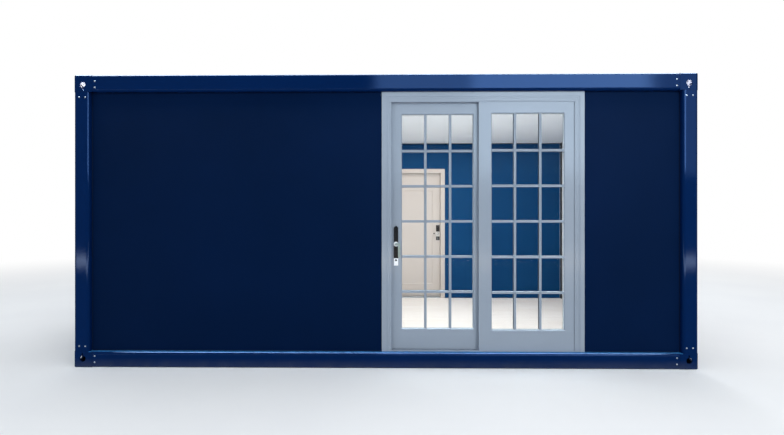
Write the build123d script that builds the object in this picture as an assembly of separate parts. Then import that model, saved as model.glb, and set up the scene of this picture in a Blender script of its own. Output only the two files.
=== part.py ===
from build123d import *
import os

# Container cabin: a bolted steel frame with hollow corner castings, panel walls recessed into it,
# a two-leaf sliding glass door in the front wall and a hinged door in the rear wall.
# Millimetres, +X along the length, -Y to the front, +Z up, origin on the ground under the middle.

# Whole cabin
LENGTH = 5950.0
DEPTH = 3000.0
HEIGHT = 2800.0

# Steel frame
TOP_RAIL_HEIGHT = 160.0
BOTTOM_RAIL_HEIGHT = 150.0
RAIL_WIDTH = 125.0
POST_WIDTH = 150.0
FRAME_INSET = 2.0
FRAME_STEEL = 4.0
FRAME_RADIUS = 28.0
EDGE_RADIUS = 10.0

# Corner castings
CASTING_LENGTH = 178.0
CASTING_DEPTH = 162.0
CASTING_WALL = 14.0
KEYHOLE_DIAMETER = 58.0
KEYHOLE_FROM_END = 91.0
KEYHOLE_FROM_POST = 67.0
KEYHOLE_TAIL = 52.0
KEYHOLE_TAIL_WIDTH = 15.0
SLOT_LENGTH = 115.0
SLOT_WIDTH = 63.5

# Walls
WALL_THICKNESS = 75.0
WALL_RECESS = 50.0

# Covers over the posts, inside the room
COVER_WIDTH = 90.0
COVER_STEEL = 2.0
COVER_RADIUS = 10.0

# Floor and roof
DECK_THICKNESS = 18.0
JOIST_HEIGHT = 100.0
JOIST_FLANGE = 45.0
JOIST_STEEL = 3.0
JOIST_BAYS = 12
CEILING_THICKNESS = 60.0
PURLIN_HEIGHT = 50.0
ROOF_RIB_HEIGHT = 25.0
ROOF_RIB_PITCH = 190.0
ROOF_RIB_TOP = 60.0
ROOF_RIB_SLOPE = 20.0
ROOF_STEEL = 1.5
CASTING_GAP = 1.0

# Sliding door in the front wall
DOOR_WIDTH = 1938.0
DOOR_CENTRE = 950.0
DOOR_PROUD = 4.0
DOOR_FACE = 94.0
CASING_WIDTH = 43.0
CASING_STEP = 4.0
TRACK_DEPTH = 30.0
TRACK_FIN = 8.0
SLIDE_GAP = 5.0
LEAF_SETBACK = 3.0
LEAF_JOINT = 3.0
SILL_HEIGHT = 8.0
RIDGE_WIDTH = 8.0
RIDGE_HEIGHT = 8.0
LEAF_THICKNESS = 36.0
LEAF_STILE = 124.0
LEAF_TOP_RAIL = 136.0
LEAF_BOTTOM_RAIL = 197.0
LEAF_MEETING = 78.0
LEAF_EDGE_RADIUS = 3.0
BEAD_CHAMFER = 6.0
PANE_THICKNESS = 4.0
PANE_SPACE = 16.0
PANE_REBATE = 12.0
PANE_GAP = 2.0
ROLLER_RADIUS = 14.0
ROLLER_WIDTH = 6.0
ROLLER_AXLE_RADIUS = 3.0
ROLLER_INSET = 150.0
ROLLING_GAP = 0.3

# Handle of the sliding leaf
PULL_WIDTH = 42.0
PULL_HEIGHT = 383.0
PULL_THICKNESS = 7.0
PULL_CHAMFER = 16.0
PULL_BOTTOM = 820.0
PULL_INSET = 68.0
PULL_LEVER_HEIGHT = 1028.0
PULL_LEVER_LENGTH = 141.0
PULL_LEVER_WIDTH = 22.0
PULL_CRANK = 30.0
ROSETTE_RADIUS = 21.0
ROSETTE_THICKNESS = 4.0
LEVER_WIDTH = 18.0
LEVER_THICKNESS = 10.0
LEVER_NECK_RADIUS = 9.0
LEVER_NECK = 18.0

# Hinged door in the rear wall
REAR_WIDTH = 970.0
REAR_HEIGHT = 2078.0
REAR_CENTRE = 413.0
REAR_PROUD = 10.0
REAR_FACE = 66.0
REAR_STOP = 12.0
REAR_THRESHOLD = 20.0
REAR_LEAF_THICKNESS = 40.0
DOOR_GAP = 5.0
REAR_PANEL_STILE = 139.0
REAR_TOP_RAIL = 290.0
REAR_LOCK_RAIL = 180.0
REAR_BOTTOM_RAIL = 200.0
REAR_PANEL_DEPTH = 6.0
REAR_PANEL_BEVEL = 5.0
ESCUTCHEON_WIDTH = 56.0
ESCUTCHEON_HEIGHT = 244.0
ESCUTCHEON_THICKNESS = 6.0
ESCUTCHEON_INSET = 49.0
ESCUTCHEON_RISE = 14.0
REAR_LEVER_HEIGHT = 1037.0
REAR_LEVER_LENGTH = 100.0
KNUCKLE_RADIUS = 8.0
KNUCKLE_HEIGHT = 50.0
KNUCKLE_GAP = 2.0
KNUCKLE_SPACE = 0.3
PIN_RADIUS = 4.0
PIN_CLEARANCE = 0.05
HINGE_FLAP = 40.0
HINGE_FLAP_THICKNESS = 4.0
HINGE_HEIGHTS = (200.0, 985.0, 1770.0)

# Worked out from the sizes above
HALF_LENGTH = LENGTH / 2
HALF_DEPTH = DEPTH / 2
FLOOR_TOP = BOTTOM_RAIL_HEIGHT
CEILING_BOTTOM = HEIGHT - TOP_RAIL_HEIGHT
WALL_OUTER_X = HALF_LENGTH - WALL_RECESS
WALL_INNER_X = WALL_OUTER_X - WALL_THICKNESS
WALL_OUTER_Y = HALF_DEPTH - WALL_RECESS
WALL_INNER_Y = WALL_OUTER_Y - WALL_THICKNESS
POST_INNER_X = HALF_LENGTH - POST_WIDTH
POST_INNER_Y = HALF_DEPTH - POST_WIDTH
RAIL_INNER_X = HALF_LENGTH - RAIL_WIDTH
RAIL_INNER_Y = HALF_DEPTH - RAIL_WIDTH
SECTION_WIDTH = RAIL_WIDTH - FRAME_INSET

DOOR_LEFT = DOOR_CENTRE - DOOR_WIDTH / 2
DOOR_RIGHT = DOOR_CENTRE + DOOR_WIDTH / 2
DOOR_FRONT = -WALL_OUTER_Y - DOOR_PROUD
TRACK_WIDTH = LEAF_THICKNESS + 2 * SLIDE_GAP
FIXED_Y = DOOR_FRONT + LEAF_SETBACK + LEAF_THICKNESS / 2
SLIDER_Y = FIXED_Y + LEAF_THICKNESS + SLIDE_GAP
DOOR_BACK = SLIDER_Y + TRACK_WIDTH / 2 + TRACK_FIN
DOOR_FRAME_DEPTH = DOOR_BACK - DOOR_FRONT
SILL_TOP = FLOOR_TOP + SILL_HEIGHT
RIDGE_TOP = SILL_TOP + RIDGE_HEIGHT
LEAF_ENGAGED = TRACK_DEPTH - SLIDE_GAP
DOOR_CLEAR = DOOR_WIDTH - 2 * DOOR_FACE
LEAF_WIDTH = (DOOR_CLEAR + 2 * LEAF_ENGAGED + LEAF_MEETING) / 2
GLASS_WIDTH = LEAF_WIDTH - 2 * LEAF_STILE
SLIDER_TOP = CEILING_BOTTOM - DOOR_FACE + LEAF_ENGAGED
SLIDER_LEFT = DOOR_LEFT + DOOR_FACE - LEAF_ENGAGED
SLIDER_RIGHT = SLIDER_LEFT + LEAF_WIDTH
FIXED_TOP = CEILING_BOTTOM - DOOR_FACE - LEAF_JOINT
FIXED_LEFT = DOOR_RIGHT - DOOR_FACE + LEAF_ENGAGED - LEAF_WIDTH
FIXED_RIGHT = DOOR_RIGHT - DOOR_FACE - LEAF_JOINT
GROOVE_WIDTH = RIDGE_WIDTH + 2 * SLIDE_GAP
GROOVE_TOP = RIDGE_TOP + ROLLING_GAP + 2 * ROLLER_RADIUS + SLIDE_GAP
GLASS_BOTTOM = SILL_TOP + SLIDE_GAP + LEAF_BOTTOM_RAIL
GLASS_TOP = SLIDER_TOP - LEAF_TOP_RAIL
UNIT_THICKNESS = 2 * PANE_THICKNESS + PANE_SPACE

REAR_LEFT = REAR_CENTRE - REAR_WIDTH / 2
REAR_RIGHT = REAR_CENTRE + REAR_WIDTH / 2
REAR_TOP = FLOOR_TOP + REAR_HEIGHT
REAR_INSIDE = WALL_INNER_Y - REAR_PROUD
REAR_OUTSIDE = WALL_OUTER_Y + REAR_PROUD
REAR_REBATE_FACE = REAR_FACE - REAR_STOP
REAR_STOP_Y = REAR_OUTSIDE - REAR_LEAF_THICKNESS - DOOR_GAP
REAR_LEAF_INSIDE = REAR_OUTSIDE - REAR_LEAF_THICKNESS
REAR_LEAF_LEFT = REAR_LEFT + REAR_REBATE_FACE + DOOR_GAP
REAR_LEAF_RIGHT = REAR_RIGHT - REAR_REBATE_FACE - DOOR_GAP
REAR_LEAF_BOTTOM = FLOOR_TOP + REAR_THRESHOLD + DOOR_GAP
REAR_LEAF_TOP = REAR_TOP - REAR_REBATE_FACE - DOOR_GAP
HINGE_X = REAR_LEAF_LEFT - DOOR_GAP / 2
HINGE_Y = REAR_OUTSIDE + KNUCKLE_GAP + KNUCKLE_RADIUS


def block(x0, x1, y0, y1, z0, z1):
    """Box between these limits."""
    middle = Pos((x0 + x1) / 2, (y0 + y1) / 2, (z0 + z1) / 2)
    return middle * Box(x1 - x0, y1 - y0, z1 - z0)


def upright_prism(points, y0, y1):
    """Outline given as (x, z) points, extruded from y0 to y1."""
    face = make_face(Polyline(*points, close=True).edges())
    plane = Plane((0, y1, 0), x_dir=(1, 0, 0), z_dir=(0, -1, 0))
    return extrude(plane * face, amount=y1 - y0)


def across_x(shape):
    """Mirror image on the other side of the cabin's length."""
    return mirror(shape, about=Plane.YZ)


def across_y(shape):
    """Mirror image on the other side of the cabin's depth."""
    return mirror(shape, about=Plane.XZ)


# Frame


def rail_section(height):
    """Rolled hollow section, its outer side towards -X and its wall side towards -Y of the sketch."""
    outline = Rectangle(SECTION_WIDTH, height)
    wall_side = outline.vertices().sort_by(Axis.X)[:2].sort_by(Axis.Y)[:1]
    outline = fillet(wall_side, FRAME_RADIUS)
    outline = fillet(outline.vertices().sort_by(Axis.Y)[-2:], EDGE_RADIUS)
    return outline - offset(outline, amount=-FRAME_STEEL)


def front_rail(rail_height):
    """Long top rail at the front, between two castings."""
    half = HALF_LENGTH - CASTING_LENGTH
    height = rail_height - FRAME_INSET
    start = (-half, -RAIL_INNER_Y - SECTION_WIDTH / 2, HEIGHT - rail_height + height / 2)
    plane = Plane(start, x_dir=(0, 1, 0), z_dir=(1, 0, 0))
    return extrude(plane * rail_section(height), amount=2 * half)


def left_rail(rail_height):
    """Short top rail at the left end, between two castings."""
    half = HALF_DEPTH - CASTING_DEPTH
    height = rail_height - FRAME_INSET
    start = (-RAIL_INNER_X - SECTION_WIDTH / 2, half, HEIGHT - rail_height + height / 2)
    plane = Plane(start, x_dir=(1, 0, 0), z_dir=(0, -1, 0))
    return extrude(plane * rail_section(height), amount=2 * half)


def corner_post():
    """Front left post, standing between a bottom and a top casting."""
    width = POST_WIDTH - FRAME_INSET
    section = RectangleRounded(width, width, FRAME_RADIUS)
    section -= offset(section, amount=-FRAME_STEEL)
    foot = Pos(-POST_INNER_X - width / 2, -POST_INNER_Y - width / 2, FLOOR_TOP)
    return extrude(foot * section, amount=CEILING_BOTTOM - FLOOR_TOP)


def keyhole():
    """Lifting hole with a narrow tail below it, seen from outside."""
    tail = Pos(0, -KEYHOLE_TAIL / 2) * Rectangle(KEYHOLE_TAIL_WIDTH, KEYHOLE_TAIL)
    return Circle(KEYHOLE_DIAMETER / 2) + tail


def casting(height):
    """Hollow casting of the top front left corner, open on top and on its two outer sides."""
    x0, x1 = -HALF_LENGTH, -HALF_LENGTH + CASTING_LENGTH
    y0, y1 = -HALF_DEPTH, -HALF_DEPTH + CASTING_DEPTH
    z0, z1 = HEIGHT - height, HEIGHT
    body = block(x0, x1, y0, y1, z0, z1)
    outer_corner = body.edges().filter_by(Axis.Z).sort_by(lambda e: e.center().X + e.center().Y)[0]
    body = fillet(outer_corner, FRAME_RADIUS)
    rim = [e for e in body.edges() if e.center().Z > z1 - 1]
    rim = [e for e in rim if e.center().X < x1 - 1 and e.center().Y < y1 - 1]
    body = fillet(rim, EDGE_RADIUS)
    wall = CASTING_WALL
    body -= block(x0 + wall, x1 - wall, y0 + wall, y1 - wall, z0 + wall, z1 - wall)
    hole_height = z0 + KEYHOLE_FROM_POST
    front = Plane((x0 + KEYHOLE_FROM_END, y0, hole_height), x_dir=(1, 0, 0), z_dir=(0, -1, 0))
    body -= extrude(front * keyhole(), amount=-(wall + 1))
    end = Plane((x0, y0 + KEYHOLE_FROM_END, hole_height), x_dir=(0, -1, 0), z_dir=(-1, 0, 0))
    body -= extrude(end * keyhole(), amount=-(wall + 1))
    slot = Pos((x0 + x1) / 2, (y0 + y1) / 2, HEIGHT) * SlotOverall(SLOT_LENGTH, SLOT_WIDTH)
    body -= extrude(slot, amount=-(wall + 1))
    return body


def upside_down(shape):
    """Mirror image at the other end of the cabin's height."""
    return mirror(shape, about=Plane((0, 0, HEIGHT / 2), z_dir=(0, 0, 1)))


def frame_pieces():
    """Castings, posts and rails of the whole frame, the castings a little proud of the rest."""
    top_front = front_rail(TOP_RAIL_HEIGHT)
    bottom_front = upside_down(front_rail(BOTTOM_RAIL_HEIGHT))
    top_left = left_rail(TOP_RAIL_HEIGHT)
    bottom_left = upside_down(left_rail(BOTTOM_RAIL_HEIGHT))
    pieces = {
        "top_rail_front": top_front,
        "top_rail_rear": across_y(top_front),
        "top_rail_left": top_left,
        "top_rail_right": across_x(top_left),
        "bottom_rail_front": bottom_front,
        "bottom_rail_rear": across_y(bottom_front),
        "bottom_rail_left": bottom_left,
        "bottom_rail_right": across_x(bottom_left),
    }
    corners = {
        "casting_top": casting(TOP_RAIL_HEIGHT),
        "casting_bottom": upside_down(casting(BOTTOM_RAIL_HEIGHT)),
        "post": corner_post(),
    }
    for name, piece in corners.items():
        pieces[name + "_front_left"] = piece
        pieces[name + "_front_right"] = across_x(piece)
        pieces[name + "_rear_left"] = across_y(piece)
        pieces[name + "_rear_right"] = across_x(across_y(piece))
    return pieces


# Walls


def wall_pieces():
    """Flat wall panels between the posts and rails, split beside and over the doors."""
    front = (-WALL_OUTER_Y, -WALL_INNER_Y)
    rear = (WALL_INNER_Y, WALL_OUTER_Y)
    height = (FLOOR_TOP, CEILING_BOTTOM)
    left_end = block(-WALL_OUTER_X, -WALL_INNER_X, -POST_INNER_Y, POST_INNER_Y, *height)
    return {
        "front_wall_left": block(-POST_INNER_X, DOOR_LEFT, *front, *height),
        "front_wall_right": block(DOOR_RIGHT, POST_INNER_X, *front, *height),
        "rear_wall_left": block(-POST_INNER_X, REAR_LEFT, *rear, *height),
        "rear_wall_right": block(REAR_RIGHT, POST_INNER_X, *rear, *height),
        "rear_wall_over_door": block(REAR_LEFT, REAR_RIGHT, *rear, REAR_TOP, CEILING_BOTTOM),
        "end_wall_left": left_end,
        "end_wall_right": across_x(left_end),
        "corner_covers": corner_covers(),
    }


def corner_covers():
    """Bent steel covers that box in the posts inside the room."""
    outer = Pos(COVER_WIDTH / 2, COVER_WIDTH / 2) * Rectangle(COVER_WIDTH, COVER_WIDTH)
    outer = fillet(outer.vertices().sort_by(lambda v: v.X + v.Y)[-1:], COVER_RADIUS)
    section = outer - Pos(-COVER_STEEL, -COVER_STEEL) * outer
    foot = Pos(-WALL_INNER_X, -WALL_INNER_Y, FLOOR_TOP)
    cover = extrude(foot * section, amount=CEILING_BOTTOM - FLOOR_TOP).solid()
    opposite = across_y(cover)
    return Compound([cover, across_x(cover), opposite, across_x(opposite)])


# Floor and roof


def between_rails(z0, z1):
    """Wide slab from rail to rail and a shorter one at each end, clear of the castings."""
    x0 = HALF_LENGTH - CASTING_LENGTH - CASTING_GAP
    y0 = HALF_DEPTH - CASTING_DEPTH - CASTING_GAP
    middle = block(-x0, x0, -RAIL_INNER_Y, RAIL_INNER_Y, z0, z1)
    end = block(-RAIL_INNER_X, -x0, -y0, y0, z0, z1)
    return [middle, end, across_x(end)]


def channel(height):
    """C section standing on its flange, open towards +X of the sketch."""
    outer = Rectangle(JOIST_FLANGE, height)
    inner = Pos(JOIST_STEEL, 0) * Rectangle(JOIST_FLANGE, height - 2 * JOIST_STEEL)
    return outer - inner


def cross_members(height, bottom):
    """Evenly spaced channels from the front rail to the rear rail."""
    pitch = 2 * RAIL_INNER_X / JOIST_BAYS
    members = []
    for number in range(1, JOIST_BAYS):
        x = -RAIL_INNER_X + number * pitch
        start = Plane((x, RAIL_INNER_Y, bottom + height / 2), x_dir=(1, 0, 0), z_dir=(0, -1, 0))
        members.append(extrude(start * channel(height), amount=2 * RAIL_INNER_Y))
    return Compound(members)


def roof_sheet():
    """Ribbed steel sheet with its ribs running from front to rear."""
    low = CEILING_BOTTOM + CEILING_THICKNESS + PURLIN_HEIGHT
    ribs = int(2 * RAIL_INNER_X / ROOF_RIB_PITCH)
    half_foot = ROOF_RIB_TOP / 2 + ROOF_RIB_SLOPE
    top_line = [(-RAIL_INNER_X, low + ROOF_STEEL)]
    for number in range(ribs):
        x = (number - (ribs - 1) / 2) * ROOF_RIB_PITCH
        top_line += [
            (x - half_foot, low + ROOF_STEEL),
            (x - ROOF_RIB_TOP / 2, low + ROOF_STEEL + ROOF_RIB_HEIGHT),
            (x + ROOF_RIB_TOP / 2, low + ROOF_STEEL + ROOF_RIB_HEIGHT),
            (x + half_foot, low + ROOF_STEEL),
        ]
    top_line.append((RAIL_INNER_X, low + ROOF_STEEL))
    bottom_line = [(x, z - ROOF_STEEL) for x, z in reversed(top_line)]
    sheet = upright_prism(top_line + bottom_line, -RAIL_INNER_Y, RAIL_INNER_Y)
    return Compound([(sheet & slab).solid() for slab in between_rails(low - 1, HEIGHT)])


def floor_and_roof_pieces():
    """Deck on joists below, ceiling, purlins and roof sheet above."""
    deck_bottom = FLOOR_TOP - DECK_THICKNESS
    ceiling_top = CEILING_BOTTOM + CEILING_THICKNESS
    return {
        "floor_deck": Compound(between_rails(deck_bottom, FLOOR_TOP)),
        "floor_joists": cross_members(JOIST_HEIGHT, deck_bottom - JOIST_HEIGHT),
        "ceiling_panel": Compound(between_rails(CEILING_BOTTOM, ceiling_top)),
        "roof_purlins": cross_members(PURLIN_HEIGHT, ceiling_top),
        "roof_sheet": roof_sheet(),
    }


# Sliding door


def track_section():
    """Door frame section with the slider's open track; outer edge at x = 0, main face at y = 0."""
    section = Pos(DOOR_FACE / 2, DOOR_FRAME_DEPTH / 2) * Rectangle(DOOR_FACE, DOOR_FRAME_DEPTH)
    track = Rectangle(TRACK_DEPTH, TRACK_WIDTH)
    section -= Pos(DOOR_FACE - TRACK_DEPTH / 2, SLIDER_Y - DOOR_FRONT) * track
    casing = Pos(CASING_WIDTH / 2, -CASING_STEP / 2) * Rectangle(CASING_WIDTH, CASING_STEP)
    return section + casing


def door_jamb():
    """Left jamb of the sliding door, mitred to the head."""
    foot = Plane((DOOR_LEFT, DOOR_FRONT, FLOOR_TOP), x_dir=(1, 0, 0), z_dir=(0, 0, 1))
    jamb = extrude(foot * track_section(), amount=CEILING_BOTTOM - FLOOR_TOP)
    inner = DOOR_LEFT + DOOR_FACE
    outline = [
        (DOOR_LEFT, FLOOR_TOP),
        (DOOR_LEFT, CEILING_BOTTOM),
        (inner, CEILING_BOTTOM - DOOR_FACE),
        (inner, FLOOR_TOP),
    ]
    return jamb & upright_prism(outline, DOOR_FRONT - CASING_STEP, DOOR_BACK)


def door_head():
    """Head of the sliding door, mitred to both jambs."""
    start = Plane((DOOR_LEFT, DOOR_FRONT, CEILING_BOTTOM), x_dir=(0, 0, -1), z_dir=(1, 0, 0))
    head = extrude(start * track_section(), amount=DOOR_WIDTH)
    outline = [
        (DOOR_LEFT, CEILING_BOTTOM),
        (DOOR_RIGHT, CEILING_BOTTOM),
        (DOOR_RIGHT - DOOR_FACE, CEILING_BOTTOM - DOOR_FACE),
        (DOOR_LEFT + DOOR_FACE, CEILING_BOTTOM - DOOR_FACE),
    ]
    return head & upright_prism(outline, DOOR_FRONT - CASING_STEP, DOOR_BACK)


def door_sill():
    """Low sill between the jambs, with a running ridge for the slider's rollers."""
    x0, x1 = DOOR_LEFT + DOOR_FACE, DOOR_RIGHT - DOOR_FACE
    sill = block(x0, x1, DOOR_FRONT, DOOR_BACK, FLOOR_TOP, SILL_TOP)
    y0, y1 = SLIDER_Y - RIDGE_WIDTH / 2, SLIDER_Y + RIDGE_WIDTH / 2
    return sill + block(x0, x1, y0, y1, SILL_TOP, RIDGE_TOP)


def leaf_frame(left, right, bottom, top, glass_left, middle_y):
    """Leaf frame with a chamfered opening and a rebate for its glass."""
    glass_right = glass_left + GLASS_WIDTH
    y0, y1 = middle_y - LEAF_THICKNESS / 2, middle_y + LEAF_THICKNESS / 2
    leaf = block(left, right, y0, y1, bottom, top)
    leaf = fillet(leaf.edges().filter_by(Axis.Z), LEAF_EDGE_RADIUS)
    leaf -= block(glass_left, glass_right, y0, y1, GLASS_BOTTOM, GLASS_TOP)
    rim = [e for e in leaf.edges() if abs(abs(e.center().Y - middle_y) - LEAF_THICKNESS / 2) < 0.1]
    rim = [e for e in rim if glass_left - 1 < e.center().X < glass_right + 1]
    rim = [e for e in rim if GLASS_BOTTOM - 1 < e.center().Z < GLASS_TOP + 1]
    leaf = chamfer(rim, BEAD_CHAMFER)
    return leaf - block(
        glass_left - PANE_REBATE,
        glass_right + PANE_REBATE,
        middle_y - UNIT_THICKNESS / 2,
        middle_y + UNIT_THICKNESS / 2,
        GLASS_BOTTOM - PANE_REBATE,
        GLASS_TOP + PANE_REBATE,
    )


def slider_frame():
    """Sliding leaf's frame, grooved over the sill's ridge."""
    bottom = SILL_TOP + SLIDE_GAP
    glass_left = SLIDER_LEFT + LEAF_STILE
    leaf = leaf_frame(SLIDER_LEFT, SLIDER_RIGHT, bottom, SLIDER_TOP, glass_left, SLIDER_Y)
    y0, y1 = SLIDER_Y - GROOVE_WIDTH / 2, SLIDER_Y + GROOVE_WIDTH / 2
    return leaf - block(SLIDER_LEFT, SLIDER_RIGHT, y0, y1, bottom, GROOVE_TOP)


def fixed_leaf_frame():
    """Fixed leaf's frame, standing on the sill and set in front of the slider."""
    glass_left = FIXED_LEFT + LEAF_STILE
    return leaf_frame(FIXED_LEFT, FIXED_RIGHT, SILL_TOP, FIXED_TOP, glass_left, FIXED_Y)


def leaf_glass(glass_left, middle_y):
    """Two panes of a sealed unit, standing in the leaf's rebate."""
    side = PANE_REBATE - PANE_GAP
    x0, x1 = glass_left - side, glass_left + GLASS_WIDTH + side
    z0, z1 = GLASS_BOTTOM - PANE_REBATE, GLASS_TOP + side
    outer, inner = UNIT_THICKNESS / 2, PANE_SPACE / 2
    front_pane = block(x0, x1, middle_y - outer, middle_y - inner, z0, z1)
    rear_pane = block(x0, x1, middle_y + inner, middle_y + outer, z0, z1)
    return Compound([front_pane, rear_pane])


def slider_rollers():
    """Two wheels with their axles, in the sliding leaf's groove."""
    height = RIDGE_TOP + ROLLING_GAP + ROLLER_RADIUS
    wheels = []
    for x in (SLIDER_LEFT + ROLLER_INSET, SLIDER_RIGHT - ROLLER_INSET):
        turned = Pos(x, SLIDER_Y, height) * Rot(90, 0, 0)
        wheel = turned * Cylinder(ROLLER_RADIUS, ROLLER_WIDTH)
        axle = turned * Cylinder(ROLLER_AXLE_RADIUS, GROOVE_WIDTH)
        wheels.append(wheel + axle)
    return Compound(wheels)


def lever(length):
    """Lever seen from its front: neck at the origin, blade along +X, rising along +Z."""
    neck = extrude(Circle(LEVER_NECK_RADIUS), amount=LEVER_NECK + LEVER_THICKNESS / 2)
    tip = length - LEVER_WIDTH
    blade = Pos(tip / 2, 0, LEVER_NECK) * SlotOverall(tip + LEVER_WIDTH, LEVER_WIDTH)
    return neck + extrude(blade, amount=LEVER_THICKNESS)


def cranked_lever(outward):
    """Lever that steps aside from its neck and hangs down, on a plane whose z points outward."""
    neck_height = ROSETTE_THICKNESS + LEVER_NECK
    lever_set = extrude(Circle(ROSETTE_RADIUS), amount=ROSETTE_THICKNESS)
    lever_set += extrude(Circle(LEVER_NECK_RADIUS), amount=neck_height + LEVER_THICKNESS / 2)
    width = PULL_LEVER_WIDTH
    arm = Pos(PULL_CRANK / 2, 0) * SlotOverall(PULL_CRANK + width, width)
    drop = outward * (PULL_LEVER_LENGTH - width) / 2
    grip = Pos(PULL_CRANK, drop) * SlotOverall(PULL_LEVER_LENGTH, width, rotation=90)
    return lever_set + extrude(Pos(0, 0, neck_height) * (arm + grip), amount=LEVER_THICKNESS)


def pull_set(face_y, outward):
    """Long plate with a hanging lever on one face of the sliding leaf."""
    middle = SLIDER_LEFT + PULL_INSET
    x0, x1 = middle - PULL_WIDTH / 2, middle + PULL_WIDTH / 2
    z0 = FLOOR_TOP + PULL_BOTTOM
    z1 = z0 + PULL_HEIGHT
    outline = [
        (x0, z0),
        (x1, z0),
        (x1, z1 - PULL_CHAMFER),
        (x1 - PULL_CHAMFER, z1),
        (x0 + PULL_CHAMFER, z1),
        (x0, z1 - PULL_CHAMFER),
    ]
    thick = outward * PULL_THICKNESS
    plate = upright_prism(outline, min(face_y, face_y + thick), max(face_y, face_y + thick))
    start = (middle, face_y + thick, FLOOR_TOP + PULL_LEVER_HEIGHT)
    plane = Plane(start, x_dir=(1, 0, 0), z_dir=(0, outward, 0))
    return plate + plane * cranked_lever(outward)


def slider_handle():
    """Pull sets on the outside and the inside of the sliding leaf."""
    outside = pull_set(SLIDER_Y - LEAF_THICKNESS / 2, -1)
    inside = pull_set(SLIDER_Y + LEAF_THICKNESS / 2, 1)
    return Compound([outside.solid(), inside.solid()])


def sliding_door_pieces():
    """Frame, sliding leaf and fixed leaf of the front door."""
    jamb = door_jamb()
    middle = Plane((DOOR_CENTRE, 0, 0), z_dir=(1, 0, 0))
    return {
        "door_frame_left": jamb,
        "door_frame_right": mirror(jamb, about=middle),
        "door_frame_head": door_head(),
        "door_frame_sill": door_sill(),
        "slider_frame": slider_frame(),
        "slider_glass": leaf_glass(SLIDER_LEFT + LEAF_STILE, SLIDER_Y),
        "slider_rollers": slider_rollers(),
        "slider_handle": slider_handle(),
        "fixed_leaf_frame": fixed_leaf_frame(),
        "fixed_leaf_glass": leaf_glass(FIXED_LEFT + LEAF_STILE, FIXED_Y),
    }


# Rear door


def rear_frame_section():
    """Jamb section with a stop for the leaf; outer edge at x = 0, inside face at y = 0."""
    depth = REAR_OUTSIDE - REAR_INSIDE
    stop = REAR_STOP_Y - REAR_INSIDE
    outline = [
        (0, 0),
        (REAR_FACE, 0),
        (REAR_FACE, stop),
        (REAR_REBATE_FACE, stop),
        (REAR_REBATE_FACE, depth),
        (0, depth),
    ]
    return make_face(Polyline(*outline, close=True).edges())


def rear_jamb():
    """Hinge-side jamb of the rear door, mitred to the head."""
    foot = Plane((REAR_LEFT, REAR_INSIDE, FLOOR_TOP), x_dir=(1, 0, 0), z_dir=(0, 0, 1))
    jamb = extrude(foot * rear_frame_section(), amount=REAR_HEIGHT)
    inner = REAR_LEFT + REAR_FACE
    outline = [
        (REAR_LEFT, FLOOR_TOP),
        (REAR_LEFT, REAR_TOP),
        (inner, REAR_TOP - REAR_FACE),
        (inner, FLOOR_TOP),
    ]
    return jamb & upright_prism(outline, REAR_INSIDE, REAR_OUTSIDE)


def rear_head():
    """Head of the rear door, mitred to both jambs."""
    start = Plane((REAR_LEFT, REAR_INSIDE, REAR_TOP), x_dir=(0, 0, -1), z_dir=(1, 0, 0))
    head = extrude(start * rear_frame_section(), amount=REAR_WIDTH)
    outline = [
        (REAR_LEFT, REAR_TOP),
        (REAR_RIGHT, REAR_TOP),
        (REAR_RIGHT - REAR_FACE, REAR_TOP - REAR_FACE),
        (REAR_LEFT + REAR_FACE, REAR_TOP - REAR_FACE),
    ]
    return head & upright_prism(outline, REAR_INSIDE, REAR_OUTSIDE)


def rear_threshold():
    """Low threshold between the jambs, with a stop as high as the leaf's gap."""
    x0, x1 = REAR_LEFT + REAR_FACE, REAR_RIGHT - REAR_FACE
    top = FLOOR_TOP + REAR_THRESHOLD
    return block(x0, x1, REAR_INSIDE, REAR_OUTSIDE, FLOOR_TOP, top)


def leaf_panel(z0, z1):
    """Bevelled recess cut into one face of the rear leaf, opening towards +Y."""
    x0, x1 = REAR_LEAF_LEFT + REAR_PANEL_STILE, REAR_LEAF_RIGHT - REAR_PANEL_STILE
    centre = ((x0 + x1) / 2, REAR_OUTSIDE, (z0 + z1) / 2)
    mouth = Plane(centre, x_dir=(-1, 0, 0), z_dir=(0, 1, 0))
    floor = Plane(mouth.origin - (0, REAR_PANEL_DEPTH, 0), x_dir=(-1, 0, 0), z_dir=(0, 1, 0))
    bevel = 2 * REAR_PANEL_BEVEL
    wide = mouth * Rectangle(x1 - x0, z1 - z0)
    narrow = floor * Rectangle(x1 - x0 - bevel, z1 - z0 - bevel)
    return loft([wide, narrow])


def rear_leaf():
    """Panelled leaf, the same on both faces."""
    x0, x1 = REAR_LEAF_LEFT, REAR_LEAF_RIGHT
    leaf = block(x0, x1, REAR_LEAF_INSIDE, REAR_OUTSIDE, REAR_LEAF_BOTTOM, REAR_LEAF_TOP)
    middle_y = (REAR_LEAF_INSIDE + REAR_OUTSIDE) / 2
    lock_rail = FLOOR_TOP + REAR_LEVER_HEIGHT
    lower = (REAR_LEAF_BOTTOM + REAR_BOTTOM_RAIL, lock_rail - REAR_LOCK_RAIL / 2)
    upper = (lock_rail + REAR_LOCK_RAIL / 2, REAR_LEAF_TOP - REAR_TOP_RAIL)
    for z0, z1 in (lower, upper):
        panel = leaf_panel(z0, z1)
        leaf -= panel
        leaf -= mirror(panel, about=Plane((0, middle_y, 0), z_dir=(0, 1, 0)))
    return leaf


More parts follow.
